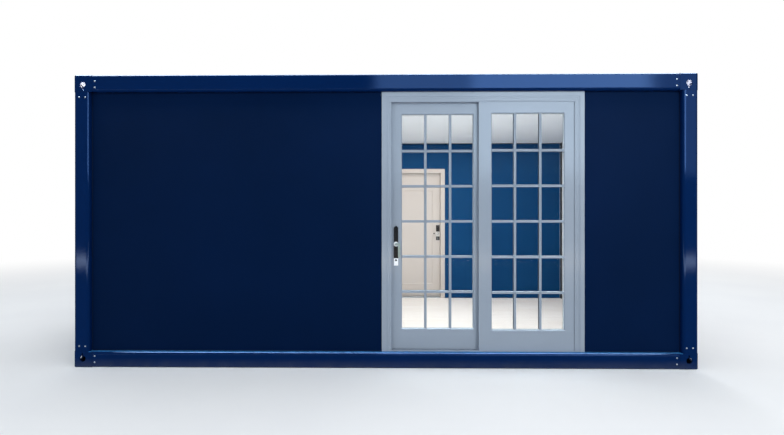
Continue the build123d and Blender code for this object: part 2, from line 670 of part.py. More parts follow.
def rear_lever_set(face_y, outward):
    """Escutcheon with a lever pointing to the hinges, on one face of the rear leaf."""
    x = REAR_LEAF_RIGHT - ESCUTCHEON_INSET
    z = FLOOR_TOP + REAR_LEVER_HEIGHT
    y0, y1 = sorted((face_y, face_y + outward * ESCUTCHEON_THICKNESS))
    half_width, half_height = ESCUTCHEON_WIDTH / 2, ESCUTCHEON_HEIGHT / 2
    middle = z + ESCUTCHEON_RISE
    plate = block(x - half_width, x + half_width, y0, y1, middle - half_height, middle + half_height)
    start = (x, face_y + outward * ESCUTCHEON_THICKNESS, z)
    plane = Plane(start, x_dir=(-1, 0, 0), z_dir=(0, outward, 0))
    return plate + plane * lever(REAR_LEVER_LENGTH)


def rear_handle():
    """Lever sets on the outside and the inside of the rear leaf."""
    outside = rear_lever_set(REAR_OUTSIDE, 1)
    inside = rear_lever_set(REAR_LEAF_INSIDE, -1)
    return Compound([outside.solid(), inside.solid()])


def hinge_half(bottom, flap_x0, flap_x1):
    """Solid knuckle and flap, the knuckle standing on this height."""
    knuckle = Pos(HINGE_X, HINGE_Y, bottom) * extrude(Circle(KNUCKLE_RADIUS), amount=KNUCKLE_HEIGHT)
    flap_y1 = REAR_OUTSIDE + HINGE_FLAP_THICKNESS
    flap = block(flap_x0, flap_x1, REAR_OUTSIDE, flap_y1, bottom, bottom + KNUCKLE_HEIGHT)
    return knuckle + flap


def hinges():
    """Lift-off hinges: lower halves with pins on the jamb, bored upper halves on the leaf."""
    lower_halves = []
    upper_halves = []
    for height in HINGE_HEIGHTS:
        bottom = FLOOR_TOP + height
        lower = hinge_half(bottom, HINGE_X - HINGE_FLAP, HINGE_X)
        pin = Circle(PIN_RADIUS)
        lower += Pos(HINGE_X, HINGE_Y, bottom) * extrude(pin, amount=2 * KNUCKLE_HEIGHT)
        upper_bottom = bottom + KNUCKLE_HEIGHT + KNUCKLE_SPACE
        upper = hinge_half(upper_bottom, HINGE_X, HINGE_X + HINGE_FLAP)
        bore = Circle(PIN_RADIUS + PIN_CLEARANCE)
        upper -= Pos(HINGE_X, HINGE_Y, upper_bottom) * extrude(bore, amount=KNUCKLE_HEIGHT)
        lower_halves.append(lower.solid())
        upper_halves.append(upper.solid())
    return Compound(lower_halves), Compound(upper_halves)


def rear_door_pieces():
    """Frame, leaf, handles and hinges of the rear door."""
    jamb = rear_jamb()
    lower_halves, upper_halves = hinges()
    middle = Plane((REAR_CENTRE, 0, 0), z_dir=(1, 0, 0))
    return {
        "rear_frame_hinge_side": jamb,
        "rear_frame_lock_side": mirror(jamb, about=middle),
        "rear_frame_head": rear_head(),
        "rear_threshold": rear_threshold(),
        "rear_frame_hinges": lower_halves,
        "rear_leaf": rear_leaf(),
        "rear_leaf_hinges": upper_halves,
        "rear_handle": rear_handle(),
    }


def main():
    """Write one STEP file for each piece."""
    pieces = {}
    pieces.update(frame_pieces())
    pieces.update(wall_pieces())
    pieces.update(floor_and_roof_pieces())
    pieces.update(sliding_door_pieces())
    pieces.update(rear_door_pieces())
    os.makedirs("parts", exist_ok=True)
    for name, piece in pieces.items():
        export_step(piece, f"parts/{name}.step")


main()
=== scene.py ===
import math

import bmesh
import bpy
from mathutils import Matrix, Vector


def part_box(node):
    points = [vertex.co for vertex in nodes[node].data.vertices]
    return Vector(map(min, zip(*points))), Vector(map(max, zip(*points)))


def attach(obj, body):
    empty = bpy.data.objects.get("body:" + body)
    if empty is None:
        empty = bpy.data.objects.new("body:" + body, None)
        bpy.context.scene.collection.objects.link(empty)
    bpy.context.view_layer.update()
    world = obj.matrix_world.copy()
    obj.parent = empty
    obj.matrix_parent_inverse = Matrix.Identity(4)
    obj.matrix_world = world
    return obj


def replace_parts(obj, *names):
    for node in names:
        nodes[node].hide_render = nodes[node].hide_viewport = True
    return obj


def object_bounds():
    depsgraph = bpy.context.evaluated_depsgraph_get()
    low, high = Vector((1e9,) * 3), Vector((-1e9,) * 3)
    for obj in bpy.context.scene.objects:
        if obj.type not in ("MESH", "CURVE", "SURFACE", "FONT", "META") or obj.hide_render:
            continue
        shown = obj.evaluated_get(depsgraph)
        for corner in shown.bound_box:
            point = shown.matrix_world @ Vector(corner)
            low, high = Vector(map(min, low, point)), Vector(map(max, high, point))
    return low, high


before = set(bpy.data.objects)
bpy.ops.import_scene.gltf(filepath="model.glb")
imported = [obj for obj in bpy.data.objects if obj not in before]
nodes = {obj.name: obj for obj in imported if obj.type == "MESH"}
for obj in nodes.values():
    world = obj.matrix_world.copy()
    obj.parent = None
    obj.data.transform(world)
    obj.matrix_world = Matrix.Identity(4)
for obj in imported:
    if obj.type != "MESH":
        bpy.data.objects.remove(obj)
cad_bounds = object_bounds()

# Places taken from the frame, in metres

CABIN_LOW, CABIN_HIGH = (Vector(corner) for corner in cad_bounds)
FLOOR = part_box("floor_deck")[1][2]
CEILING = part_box("ceiling_panel")[0][2]
FRAME_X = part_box("post_front_right")[1][0]
FRAME_Y = -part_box("post_front_right")[0][1]
POST_INNER_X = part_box("post_front_right")[0][0]
POST_INNER_Y = -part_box("post_front_right")[1][1]
RAIL_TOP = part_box("top_rail_front")[1][2]
CASTING_LOW, CASTING_HIGH = (Vector(corner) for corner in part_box("casting_top_front_left"))
CASTING_SIZE = CASTING_HIGH - CASTING_LOW
WALL_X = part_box("end_wall_right")[1][0]
WALL_INNER_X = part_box("end_wall_right")[0][0]
WALL_Y = -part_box("front_wall_left")[0][1]
WALL_INNER_Y = -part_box("front_wall_left")[1][1]
DOOR_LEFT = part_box("door_frame_head")[0][0]
DOOR_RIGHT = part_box("door_frame_head")[1][0]
DOOR_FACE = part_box("door_frame_left")[1][0] - DOOR_LEFT
SILL_LOW, SILL_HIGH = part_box("door_frame_sill")
SLIDER_LOW, SLIDER_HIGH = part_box("slider_frame")
FIXED_LOW, FIXED_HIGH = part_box("fixed_leaf_frame")
SLIDER_Y = (SLIDER_LOW[1] + SLIDER_HIGH[1]) / 2
FIXED_Y = (FIXED_LOW[1] + FIXED_HIGH[1]) / 2
LEAF_HALF = (SLIDER_HIGH[1] - SLIDER_LOW[1]) / 2
PULL_LOW, PULL_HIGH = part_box("slider_handle")
REAR_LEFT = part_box("rear_frame_head")[0][0]
REAR_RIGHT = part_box("rear_frame_head")[1][0]
REAR_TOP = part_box("rear_frame_head")[1][2]
THRESHOLD_LOW, THRESHOLD_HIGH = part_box("rear_threshold")
LEAF_LOW, LEAF_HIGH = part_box("rear_leaf")
LOCK_LOW, LOCK_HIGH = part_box("rear_handle")
ROOF_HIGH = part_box("roof_sheet")[1]

# Places inside the nodes' boxes, as in the CAD

CASTING_WALL = 0.014
COVER_WIDTH = 0.090
PANE_FACE = 0.012
PANE_FOOT_COVER = 0.012
PANE_SIDE_COVER = 0.010
SILL_TREAD = FLOOR + 0.008
PULL_FACE = LEAF_HALF + 0.007
PULL_MIDDLE = PULL_LOW[0] + 0.021
PULL_FOOT = PULL_LOW[2] + 0.070
PULL_LEVER_Z = 1.178
LOCK_PLATE = 0.006
LOCK_X = LOCK_HIGH[0] - 0.028
LOCK_MIDDLE = (1.139, 1.217)
LOCK_CYLINDER_Z = 1.112
REAR_LEVER_Z = 1.187
LEVER_TIP = (LOCK_LOW[0] + 0.016, LOCK_LOW[0] + 0.042)
HINGE_PIN_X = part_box("rear_frame_hinges")[1][0] - 0.008
HINGE_FLAP = 0.004
HINGE_LOWEST_SCREW = 0.025
RIB_PITCH = 0.190
RIB_HEIGHT = 0.025
RIBS = round(2 * ROOF_HIGH[0] / RIB_PITCH)
VALLEY_BOTTOM = 0.090
VALLEY_TOP = 0.130

# Mesh helpers. Every piece is built in metres, where it belongs at rest.

SMOOTH_BELOW = math.radians(35.0)
FILLET_HOLLOW = 0.36


class Shape:
    """Collects solids in one mesh, which then becomes one piece."""

    def __init__(self):
        self.mesh = bmesh.new()

    def loft(self, rings):
        """Skin over rings of the same number of points, closed at both ends."""
        rows = [[self.mesh.verts.new(point) for point in ring] for ring in rings]
        count = len(rows[0])
        for a, b in zip(rows, rows[1:]):
            for i in range(count):
                j = (i + 1) % count
                self.mesh.faces.new((a[i], a[j], b[j], b[i]))
        self.mesh.faces.new(list(reversed(rows[0])))
        self.mesh.faces.new(rows[-1])

    def extrude(self, outline, origin, across, up, along, length):
        """Outline of (across, up) points pushed along a direction."""
        origin, across, up, along = (Vector(v) for v in (origin, across, up, along))
        ends = []
        for push in (0.0, length):
            base = origin + along * push
            ends.append([base + across * u + up * v for u, v in outline])
        self.loft(ends)

    def block(self, low, high):
        """Block between two corners."""
        low, high = Vector(low), Vector(high)
        size = high - low
        outline = [(0, 0), (size.x, 0), (size.x, size.y), (0, size.y)]
        self.extrude(outline, low, (1, 0, 0), (0, 1, 0), (0, 0, 1), size.z)

    def turn(self, profile, centre, axis, sides):
        """Profile of (radius, height) points turned round an axis; a zero radius closes an end."""
        centre, axis = Vector(centre), Vector(axis).normalized()
        side = axis.orthogonal().normalized()
        other = axis.cross(side)
        rings = []
        for radius, height in profile:
            base = centre + axis * height
            if not radius:
                rings.append([self.mesh.verts.new(base)])
                continue
            ring = []
            for i in range(sides):
                angle = 2 * math.pi * i / sides
                spoke = side * math.cos(angle) + other * math.sin(angle)
                ring.append(self.mesh.verts.new(base + spoke * radius))
            rings.append(ring)
        for a, b in zip(rings, rings[1:]):
            for i in range(sides):
                j = (i + 1) % sides
                if len(a) == 1:
                    self.mesh.faces.new((a[0], b[j], b[i]))
                elif len(b) == 1:
                    self.mesh.faces.new((a[i], a[j], b[0]))
                else:
                    self.mesh.faces.new((a[i], a[j], b[j], b[i]))

    def run(self, section, start, end, outward):
        """Section of (across, up) points along a straight run, up being outward."""
        start, end, outward = Vector(start), Vector(end), Vector(outward)
        along = (end - start).normalized()
        self.extrude(section, start, outward.cross(along), outward, along, (end - start).length)

    def ring(self, section, corners, outward):
        """Section along the closed line through some corners."""
        for a, b in zip(corners, corners[1:] + corners[:1]):
            self.run(section, a, b, outward)

    def upright_ring(self, section, low, high, y, outward):
        """Section along the four sides of an upright rectangle of (x, z) corners."""
        corners = upright_rectangle(low, high, 0.0, y)
        if outward > 0:
            corners.reverse()
        self.ring(section, corners, (0, outward, 0))

    def doorway(self, section, low, high, y, outward):
        """Section up both sides and along the top of an upright rectangle of (x, z) corners."""
        (x0, z0), (x1, z1) = low, high
        for start, end in (((x0, z0), (x0, z1)), ((x1, z0), (x1, z1)), ((x0, z1), (x1, z1))):
            self.run(section, (start[0], y, start[1]), (end[0], y, end[1]), (0, outward, 0))

    def screw(self, place, outward, radius):
        """Small screw head, nearly flush, with a socket."""
        profile = [
            (radius, 0.0), (radius, radius * 0.15), (radius * 0.85, radius * 0.3),
            (radius * 0.4, radius * 0.34), (radius * 0.36, radius * 0.1), (0.0, radius * 0.1),
        ]
        self.turn(profile, place, outward, 14)

    def object(self, name, material):
        """The mesh as an object in the scene."""
        mesh = bpy.data.meshes.new(name)
        self.mesh.to_mesh(mesh)
        self.mesh.free()
        mesh.materials.append(material)
        made = bpy.data.objects.new(name, mesh)
        bpy.context.scene.collection.objects.link(made)
        return made

    def piece(self, name, material, body, slot):
        """The finished piece, riding on a body."""
        bmesh.ops.recalc_face_normals(self.mesh, faces=self.mesh.faces[:])
        piece = self.object(name, material)
        piece.data.shade_smooth()
        piece.data.set_sharp_from_angle(angle=SMOOTH_BELOW)
        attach(piece, body)
        return piece


def upright_rectangle(low, high, inset, y):
    """Corners of an upright rectangle between (x, z) corners, drawn in by an inset."""
    (x0, z0), (x1, z1) = low, high
    x0, z0, x1, z1 = x0 + inset, z0 + inset, x1 - inset, z1 - inset
    return [(x0, y, z0), (x1, y, z0), (x1, y, z1), (x0, y, z1)]


def rounded_bead(width, height, steps=5):
    """Half-round section standing on its base."""
    points = []
    for i in range(steps + 1):
        angle = math.pi * i / steps
        points.append((width / 2 * math.cos(angle), height * math.sin(angle)))
    return points


def fillet_bead(size):
    """Hollow three-cornered section that fills an inside corner."""
    middle = size * FILLET_HOLLOW
    return [(0.0, 0.0), (size, 0.0), (middle, middle), (0.0, size)]


# Materials

NOISE_LOW, NOISE_HIGH = 0.3, 0.7
NOISE_ROUGHNESS = 0.55
MASK_EDGE = 0.0006
FACE_EDGE = 0.0002
SOFT_EDGE = 0.001
HOLLOW_END = CASTING_WALL * 0.93
REFLECTED_BLUE = (0.31, 0.52, 1.0, 1.0)
DOOR_DUST = (0.16, 0.42)
FRAME_DUST = (0.0, 0.09)
LEDGE_HIGHLIGHT_BAND = (FLOOR - 0.003, FLOOR + 0.001)
LEVER_OFF = 0.0008
ROSETTE_OFF = 0.0044
BOARD_LENGTH, BOARD_WIDTH, BOARD_JOINT = 1.22, 0.18, 0.0012


def srgb(red, green, blue):
    """Linear colour for a display colour given as 0 to 255."""
    def linear(value):
        share = value / 255
        return share / 12.92 if share <= 0.04045 else ((share + 0.055) / 1.055) ** 2.4
    return (linear(red), linear(green), linear(blue), 1.0)


def scaled(colour, factor):
    """Colour made lighter or darker."""
    return tuple(min(1.0, c * factor) for c in colour[:3]) + (1.0,)


class Finish:
    """Principled material under construction, with the object's own coordinates at hand."""

    def __init__(self, name, roughness, specular=0.5, metallic=0.0):
        self.material = bpy.data.materials.new(name)
        self.material.use_nodes = True
        self.tree = self.material.node_tree
        self.shader = self.tree.nodes["Principled BSDF"]
        self.shader.inputs["Roughness"].default_value = roughness
        self.shader.inputs["Specular IOR Level"].default_value = specular
        self.shader.inputs["Metallic"].default_value = metallic
        self.place = self.tree.nodes.new("ShaderNodeTexCoord").outputs["Object"]

    def node(self, kind, **settings):
        node = self.tree.nodes.new(kind)
        for key, value in settings.items():
            setattr(node, key, value)
        return node

    def link(self, a, b):
        self.tree.links.new(a, b)

    def feed(self, socket, value):
        """Link a socket, or set it to a plain value."""
        if isinstance(value, bpy.types.NodeSocket):
            self.link(value, socket)
        else:
            socket.default_value = value

    def stretched(self, scale):
        """The coordinates multiplied by a scale for each axis."""
        mapping = self.node("ShaderNodeMapping")
        mapping.inputs["Scale"].default_value = scale
        self.link(self.place, mapping.inputs["Vector"])
        return mapping.outputs["Vector"]

    def noise(self, scale, detail, stretch=None):
        noise = self.node("ShaderNodeTexNoise")
        noise.inputs["Scale"].default_value = scale
        noise.inputs["Detail"].default_value = detail
        noise.inputs["Roughness"].default_value = NOISE_ROUGHNESS
        self.link(self.stretched(stretch) if stretch else self.place, noise.inputs["Vector"])
        return noise.outputs["Fac"]

    def ramp(self, value, stops):
        """Value turned into a colour by stops of (place, colour)."""
        ramp = self.node("ShaderNodeValToRGB")
        for element, (place, colour) in zip(ramp.color_ramp.elements, stops):
            element.position = place
            element.color = colour
        self.link(value, ramp.inputs["Fac"])
        return ramp.outputs["Color"]

    def speckled(self, noise, first, second):
        """Colour that a noise takes from the first to the second."""
        return self.ramp(noise, [(NOISE_LOW, first), (NOISE_HIGH, second)])

    def cloudy(self, noise, colour, spread):
        """Colour that a noise makes a little darker or lighter."""
        return self.speckled(noise, scaled(colour, 1 - spread), scaled(colour, 1 + spread))

    def mix(self, factor, a, b, blend="MIX"):
        """Mix of two colours; a factor, colour or socket each."""
        mix = self.node("ShaderNodeMix", data_type="RGBA", blend_type=blend)
        for socket, value in ((mix.inputs[0], factor), (mix.inputs[6], a), (mix.inputs[7], b)):
            self.feed(socket, value)
        return mix.outputs[2]

    def math(self, operation, a, b=0.0):
        node = self.node("ShaderNodeMath", operation=operation)
        self.feed(node.inputs[0], a)
        self.feed(node.inputs[1], b)
        return node.outputs[0]

    def axis(self, letter):
        """One coordinate of the place."""
        split = self.node("ShaderNodeSeparateXYZ")
        self.link(self.place, split.inputs[0])
        return split.outputs[letter]

    def step(self, value, low, high, start=0.0, end=1.0):
        """Value mapped from low..high to start..end, held beyond both."""
        spread = self.node("ShaderNodeMapRange", clamp=True)
        spread.inputs["From Min"].default_value = low
        spread.inputs["From Max"].default_value = high
        spread.inputs["To Min"].default_value = start
        spread.inputs["To Max"].default_value = end
        self.link(value, spread.inputs["Value"])
        return spread.outputs["Result"]

    def above(self, value, limit, soft):
        """1 above a limit and 0 below it."""
        return self.step(value, limit - soft, limit + soft)

    def below(self, value, limit, soft):
        """1 below a limit and 0 above it."""
        return self.step(value, limit - soft, limit + soft, 1.0, 0.0)

    def band(self, value, low, high, soft):
        """1 between low and high, fading over soft."""
        return self.math("MULTIPLY", self.above(value, low, soft), self.below(value, high, soft))

    def follow(self, noise, low, high):
        """Value that a noise takes from low to high."""
        return self.step(noise, NOISE_LOW, NOISE_HIGH, low, high)

    def colour(self, value):
        self.feed(self.shader.inputs["Base Color"], value)

    def rough(self, noise, low, high):
        """Roughness that a noise takes from low to high."""
        self.link(self.follow(noise, low, high), self.shader.inputs["Roughness"])

    def metallic(self, value):
        self.feed(self.shader.inputs["Metallic"], value)

    def reflection_tint(self, colour):
        """Colour of the reflections."""
        self.shader.inputs["Specular Tint"].default_value = colour

    def bump(self, value, depth, strength):
        """Surface relief of a depth in metres."""
        bump = self.node("ShaderNodeBump")
        bump.inputs["Strength"].default_value = strength
        bump.inputs["Distance"].default_value = depth
        self.link(value, bump.inputs["Height"])
        self.link(bump.outputs["Normal"], self.shader.inputs["Normal"])

    def settled(self, tone, heights, scale, amount, dust):
        """Colour with patches of dust, most at the lower of two heights and none at the other."""
        low = self.step(self.axis("Z"), heights[0], heights[1], 1.0, 0.0)
        patches = self.math("MULTIPLY", self.noise(scale, 6.0), amount)
        return self.mix(self.math("MULTIPLY", low, patches), tone, dust)

    def surface(self, shader, mixes):
        """Output of a shader, mixed in turn with others by (factor, shader)."""
        for factor, other in mixes:
            mix = self.node("ShaderNodeMixShader")
            for socket, value in zip(mix.inputs, (factor, shader, other)):
                self.link(value, socket)
            shader = mix.outputs[0]
        self.link(shader, self.tree.nodes["Material Output"].inputs["Surface"])


def paint(name, colour, roughness, specular, peel=0.0003, spread=0.05, dust=0.0):
    """Sprayed paint: faint cloudiness, orange peel, and dust that settles low down."""
    finish = Finish(name, roughness, specular)
    tone = finish.cloudy(finish.noise(1.7, 5.0), colour, spread)
    if dust:
        tone = finish.settled(tone, DOOR_DUST, 9.0, dust, srgb(120, 116, 108))
    finish.colour(tone)
    finish.rough(finish.noise(6.0, 4.0), roughness * 0.85, roughness * 1.15)
    finish.bump(finish.noise(420.0, 2.0), peel, 0.25)
    return finish.material


def frame_paint(name, colour):
    """Blue gloss paint with dust at the foot and on top, and a painted highlight along the ledge of
    the bottom rails for the sky's reflection.

    Inside the hollow castings the top is painted light, for the daylight through the top slot, and
    the bottom is painted shade.
    """
    finish = Finish(name, 0.09, 0.36)
    finish.reflection_tint(REFLECTED_BLUE)
    tone = finish.cloudy(finish.noise(1.3, 5.0), colour, 0.06)
    tone = finish.settled(tone, FRAME_DUST, 11.0, 0.4, srgb(92, 96, 96))

    hollows = []
    for letter, high, size in zip("XY", CABIN_HIGH, CASTING_SIZE):
        reach = finish.math("ABSOLUTE", finish.axis(letter))
        near, far = high - size + CASTING_WALL, high - CASTING_WALL
        hollows.append(finish.band(reach, near, far, MASK_EDGE))
    inside = finish.math("MULTIPLY", *hollows)
    height = finish.axis("Z")
    top = finish.band(height, CEILING + HOLLOW_END, CABIN_HIGH.z - HOLLOW_END, MASK_EDGE)
    bottom = finish.band(height, HOLLOW_END, FLOOR - HOLLOW_END, MASK_EDGE)
    spots = finish.noise(38.0, 3.0)
    # Painted light: the top hollows are near white, for the daylight that falls in through the top
    # slot.
    painted_light_hollow = finish.speckled(spots, srgb(236, 238, 246), srgb(246, 247, 252))
    # Painted shade: the bottom hollows are near black, for the shade inside them.
    painted_shade_hollow = finish.speckled(spots, srgb(10, 11, 13), srgb(22, 23, 26))
    tone = finish.mix(finish.math("MULTIPLY", inside, top), tone, painted_light_hollow)
    tone = finish.mix(finish.math("MULTIPLY", inside, bottom), tone, painted_shade_hollow)

    casting_top = finish.above(height, CABIN_HIGH.z - 2 * FACE_EDGE, FACE_EDGE)
    rail_top = finish.band(height, RAIL_TOP - 2 * FACE_EDGE, RAIL_TOP + 2 * FACE_EDGE, FACE_EDGE)
    upward = finish.math("MAXIMUM", casting_top, rail_top)
    dust = finish.math("MULTIPLY", upward, finish.follow(spots, 0.10, 0.20))
    tone = finish.mix(dust, tone, srgb(104, 112, 122))

    ledge = finish.band(height, *LEDGE_HIGHLIGHT_BAND, SOFT_EDGE)
    along = finish.math("ABSOLUTE", finish.axis("X"))
    between_posts = finish.step(along, POST_INNER_X - SOFT_EDGE, POST_INNER_X, 1.0, 0.0)
    ledge = finish.math("MULTIPLY", ledge, between_posts)
    # Painted highlight: a bright blue line along the ledge of the bottom rails, for the sky's
    # reflection there.
    ledge_highlight = finish.math("MULTIPLY", ledge, finish.follow(spots, 0.3, 0.55))
    finish.colour(finish.mix(ledge_highlight, tone, srgb(70, 160, 235)))

    gloss = finish.follow(finish.noise(6.0, 4.0), 0.05, 0.08)
    dulled = finish.math("ADD", gloss, finish.math("MULTIPLY", upward, 0.5))
    finish.link(dulled, finish.shader.inputs["Roughness"])
    finish.bump(finish.noise(420.0, 2.0), 0.0003, 0.2)
    return finish.material


def wall_paint(name):
    """Coated wall sheet, navy on both faces; inside the room it is painted a lighter blue, painted
    light for the daylight there.
    """
    finish = Finish(name, 0.5, 0.05)
    finish.reflection_tint(REFLECTED_BLUE)
    half = (WALL_X - WALL_INNER_X) / 2
    reach_x, reach_y = WALL_INNER_X + half, WALL_INNER_Y + half
    inside_x = finish.band(finish.axis("X"), -reach_x, reach_x, 2 * SOFT_EDGE)
    inside_y = finish.band(finish.axis("Y"), -reach_y, reach_y, 2 * SOFT_EDGE)
    inside = finish.math("MULTIPLY", inside_x, inside_y)
    clouds = finish.noise(0.9, 4.0)
    outer = finish.speckled(clouds, srgb(1, 19, 50), srgb(2, 22, 56))
    # Painted light: a lighter copy of the navy for the inner faces, for the daylight in the room.
    inner = finish.speckled(clouds, srgb(16, 60, 103), srgb(21, 67, 110))
    finish.colour(finish.mix(inside, outer, inner))
    finish.rough(finish.noise(5.0, 4.0), 0.47, 0.53)
    finish.bump(finish.noise(260.0, 3.0, (1.0, 1.0, 0.5)), 0.0002, 0.2)
    return finish.material


def metal(name, colour, roughness, brush=(1.0, 1.0, 1.0), scale=220.0, spread=0.06):
    """Plated metal with brushing along the axis that has the small brush value."""
    finish = Finish(name, roughness, 0.5, 0.4)
    grain = finish.noise(scale, 3.0, brush)
    finish.colour(finish.cloudy(grain, colour, spread))
    finish.rough(grain, roughness * 0.8, roughness * 1.25)
    finish.bump(grain, 0.00005, 0.3)
    return finish.material


def pull_finish(name, leaf_y):
    """Polished plate painted with its reflections: a painted dark reflection above, a painted
    bright reflection at the foot and a painted highlight at the rosette; a satin lever stands off
    it.
    """
    finish = Finish(name, 0.25, 0.25)
    off = finish.math("ABSOLUTE", finish.math("SUBTRACT", finish.axis("Y"), leaf_y))
    lever = finish.above(off, PULL_FACE + LEVER_OFF, FACE_EDGE)
    rosette_glint = finish.below(off, PULL_FACE + ROSETTE_OFF, FACE_EDGE)
    foot = finish.below(finish.axis("Z"), PULL_FOOT, 2 * FACE_EDGE)
    grain = finish.noise(260.0, 3.0, (1.0, 1.0, 0.1))
    # Painted reflection: the plate is near black where the polished metal mirrors dark
    # surroundings.
    plate = finish.speckled(grain, srgb(2, 6, 12), srgb(8, 13, 22))
    steel = finish.speckled(grain, srgb(128, 143, 142), srgb(152, 168, 166))
    # Painted reflection and painted highlight: near white for the foot and the rosette.
    bright_reflection = finish.speckled(grain, srgb(238, 242, 247), srgb(250, 252, 255))
    steel_and_reflection = finish.mix(finish.math("MAXIMUM", foot, rosette_glint), steel, bright_reflection)
    finish.colour(finish.mix(finish.math("MAXIMUM", lever, foot), plate, steel_and_reflection))
    finish.metallic(finish.math("MULTIPLY", lever, 0.3))
    finish.rough(grain, 0.2, 0.3)
    finish.bump(grain, 0.00005, 0.3)
    return finish.material


def escutcheon_finish(name):
    """Satin steel plate with black ends and a dark patch at the lever's tip."""
    finish = Finish(name, 0.3, 0.4)
    middle = finish.band(finish.axis("Z"), *LOCK_MIDDLE, MASK_EDGE)
    tip = finish.band(finish.axis("X"), *LEVER_TIP, SOFT_EDGE)
    middle = finish.math("SUBTRACT", middle, tip)
    grain = finish.noise(240.0, 3.0, (1.0, 1.0, 0.08))
    dark = finish.speckled(grain, srgb(26, 21, 21), srgb(46, 39, 38))
    steel = finish.speckled(grain, srgb(206, 203, 198), srgb(226, 222, 216))
    finish.colour(finish.mix(middle, dark, steel))
    finish.metallic(finish.math("MULTIPLY", middle, 0.25))
    finish.rough(grain, 0.24, 0.36)
    finish.bump(grain, 0.00005, 0.3)
    return finish.material


def glass(name):
    """Clear pane that lets light through without shading the room."""
    finish = Finish(name, 0.0)
    finish.colour((0.985, 0.995, 0.99, 1.0))
    finish.shader.inputs["Transmission Weight"].default_value = 1.0
    finish.shader.inputs["IOR"].default_value = 1.05
    clear = finish.node("ShaderNodeBsdfTransparent").outputs[0]
    shadow = finish.node("ShaderNodeLightPath").outputs["Is Shadow Ray"]
    finish.surface(finish.shader.outputs[0], [(shadow, clear)])
    return finish.material


def rubber(name, colour):
    """Dull seal or brush."""
    finish = Finish(name, 0.75, 0.03)
    finish.colour(finish.speckled(finish.noise(60.0, 3.0), colour, scaled(colour, 1.3)))
    finish.bump(finish.noise(900.0, 2.0), 0.0002, 0.4)
    return finish.material


def floor_boards(name):
    """Pale vinyl boards laid along the cabin."""
    finish = Finish(name, 0.5, 0.12)
    bricks = finish.node("ShaderNodeTexBrick", offset=0.37)
    bricks.inputs["Scale"].default_value = 1.0
    bricks.inputs["Brick Width"].default_value = BOARD_LENGTH
    bricks.inputs["Row Height"].default_value = BOARD_WIDTH
    bricks.inputs["Mortar Size"].default_value = BOARD_JOINT
    bricks.inputs["Color1"].default_value = srgb(253, 248, 243)
    bricks.inputs["Color2"].default_value = srgb(250, 244, 238)
    bricks.inputs["Mortar"].default_value = srgb(216, 208, 200)
    finish.link(finish.place, bricks.inputs["Vector"])
    grain = finish.noise(30.0, 6.0, (0.12, 1.0, 1.0))
    tint = finish.ramp(grain, [(0.35, (0.96, 0.955, 0.945, 1)), (0.65, (1, 1, 1, 1))])
    finish.colour(finish.mix(1.0, bricks.outputs["Color"], tint, "MULTIPLY"))
    finish.bump(bricks.outputs["Fac"], -0.0006, 0.4)
    return finish.material


blue = frame_paint("frame_blue_paint", srgb(0, 26, 70))
navy = wall_paint("wall_sheet")
door = paint("door_powder_coat", srgb(140, 152, 167), 0.14, 0.24, 0.0002, 0.025, 0.10)
white = paint("white_enamel", srgb(197, 189, 183), 0.4, 0.15, 0.0002, 0.015)
ceiling = paint("ceiling_white", srgb(236, 240, 243), 0.6, 0.05, spread=0.01)
roof = paint("roof_coating", srgb(150, 158, 168), 0.6, 0.0)
pane = glass("clear_pane")
polished = metal("polished_metal", srgb(226, 230, 236), 0.12)
satin = metal("satin_metal", srgb(176, 180, 184), 0.3, (0.08, 1.0, 1.0))
zinc = metal("zinc_plate", srgb(170, 174, 182), 0.42, scale=40.0, spread=0.18)
nylon = paint("roller_nylon", srgb(40, 42, 46), 0.5, 0.4)
seal = rubber("black_seal", srgb(10, 11, 14))
navy_seal = rubber("navy_seal", srgb(2, 14, 40))
grey_seal = rubber("grey_seal", srgb(112, 124, 142))
pull = pull_finish("pull_plate", SLIDER_Y)
lock = escutcheon_finish("lock_plate")
boards = floor_boards("pale_boards")

SLOT_FINISH = {
    "frame_blue": blue,
    "wall_navy": navy,
    "door_grey_blue": door,
    "clear_glass": pane,
    "polished_steel": pull,
    "satin_steel": satin,
    "roller_nylon": nylon,
    "door_white": white,
    "floor_board": boards,
    "ceiling_white": ceiling,
    "roof_steel": roof,
    "galvanised": zinc,
}
NODE_FINISH = {"rear_handle": lock}
for name, node in nodes.items():
    for slot in node.material_slots:
        slot_name = slot.material.name.split(".")[0]
        slot.material = NODE_FINISH.get(name, SLOT_FINISH[slot_name])

# Bolts of the frame

RAIL_BOLT_INSET = 0.028
RAIL_BOLT_RISES = (0.042, 0.101)
POST_BOLT_INSETS = (0.056, 0.115)
POST_BOLT_RISE = 0.052
BOLT_RADIUS = 0.0075
BOLT_CLEARANCE = 0.0001
BOLT_HEIGHT = CABIN_HIGH.y - FRAME_Y - BOLT_CLEARANCE


def button_head(shape, place, outward):
    """Round bolt head with a washer rim and a socket in its middle."""
    r, h = BOLT_RADIUS, BOLT_HEIGHT
    profile = [
        (r, 0.0), (r, h * 0.18), (r * 0.93, h * 0.45), (r * 0.76, h * 0.76), (r * 0.52, h * 0.95),
        (r * 0.34, h), (r * 0.3, h * 0.9), (r * 0.3, h * 0.4), (0.0, h * 0.4),
    ]
    shape.turn(profile, place, outward, 18)


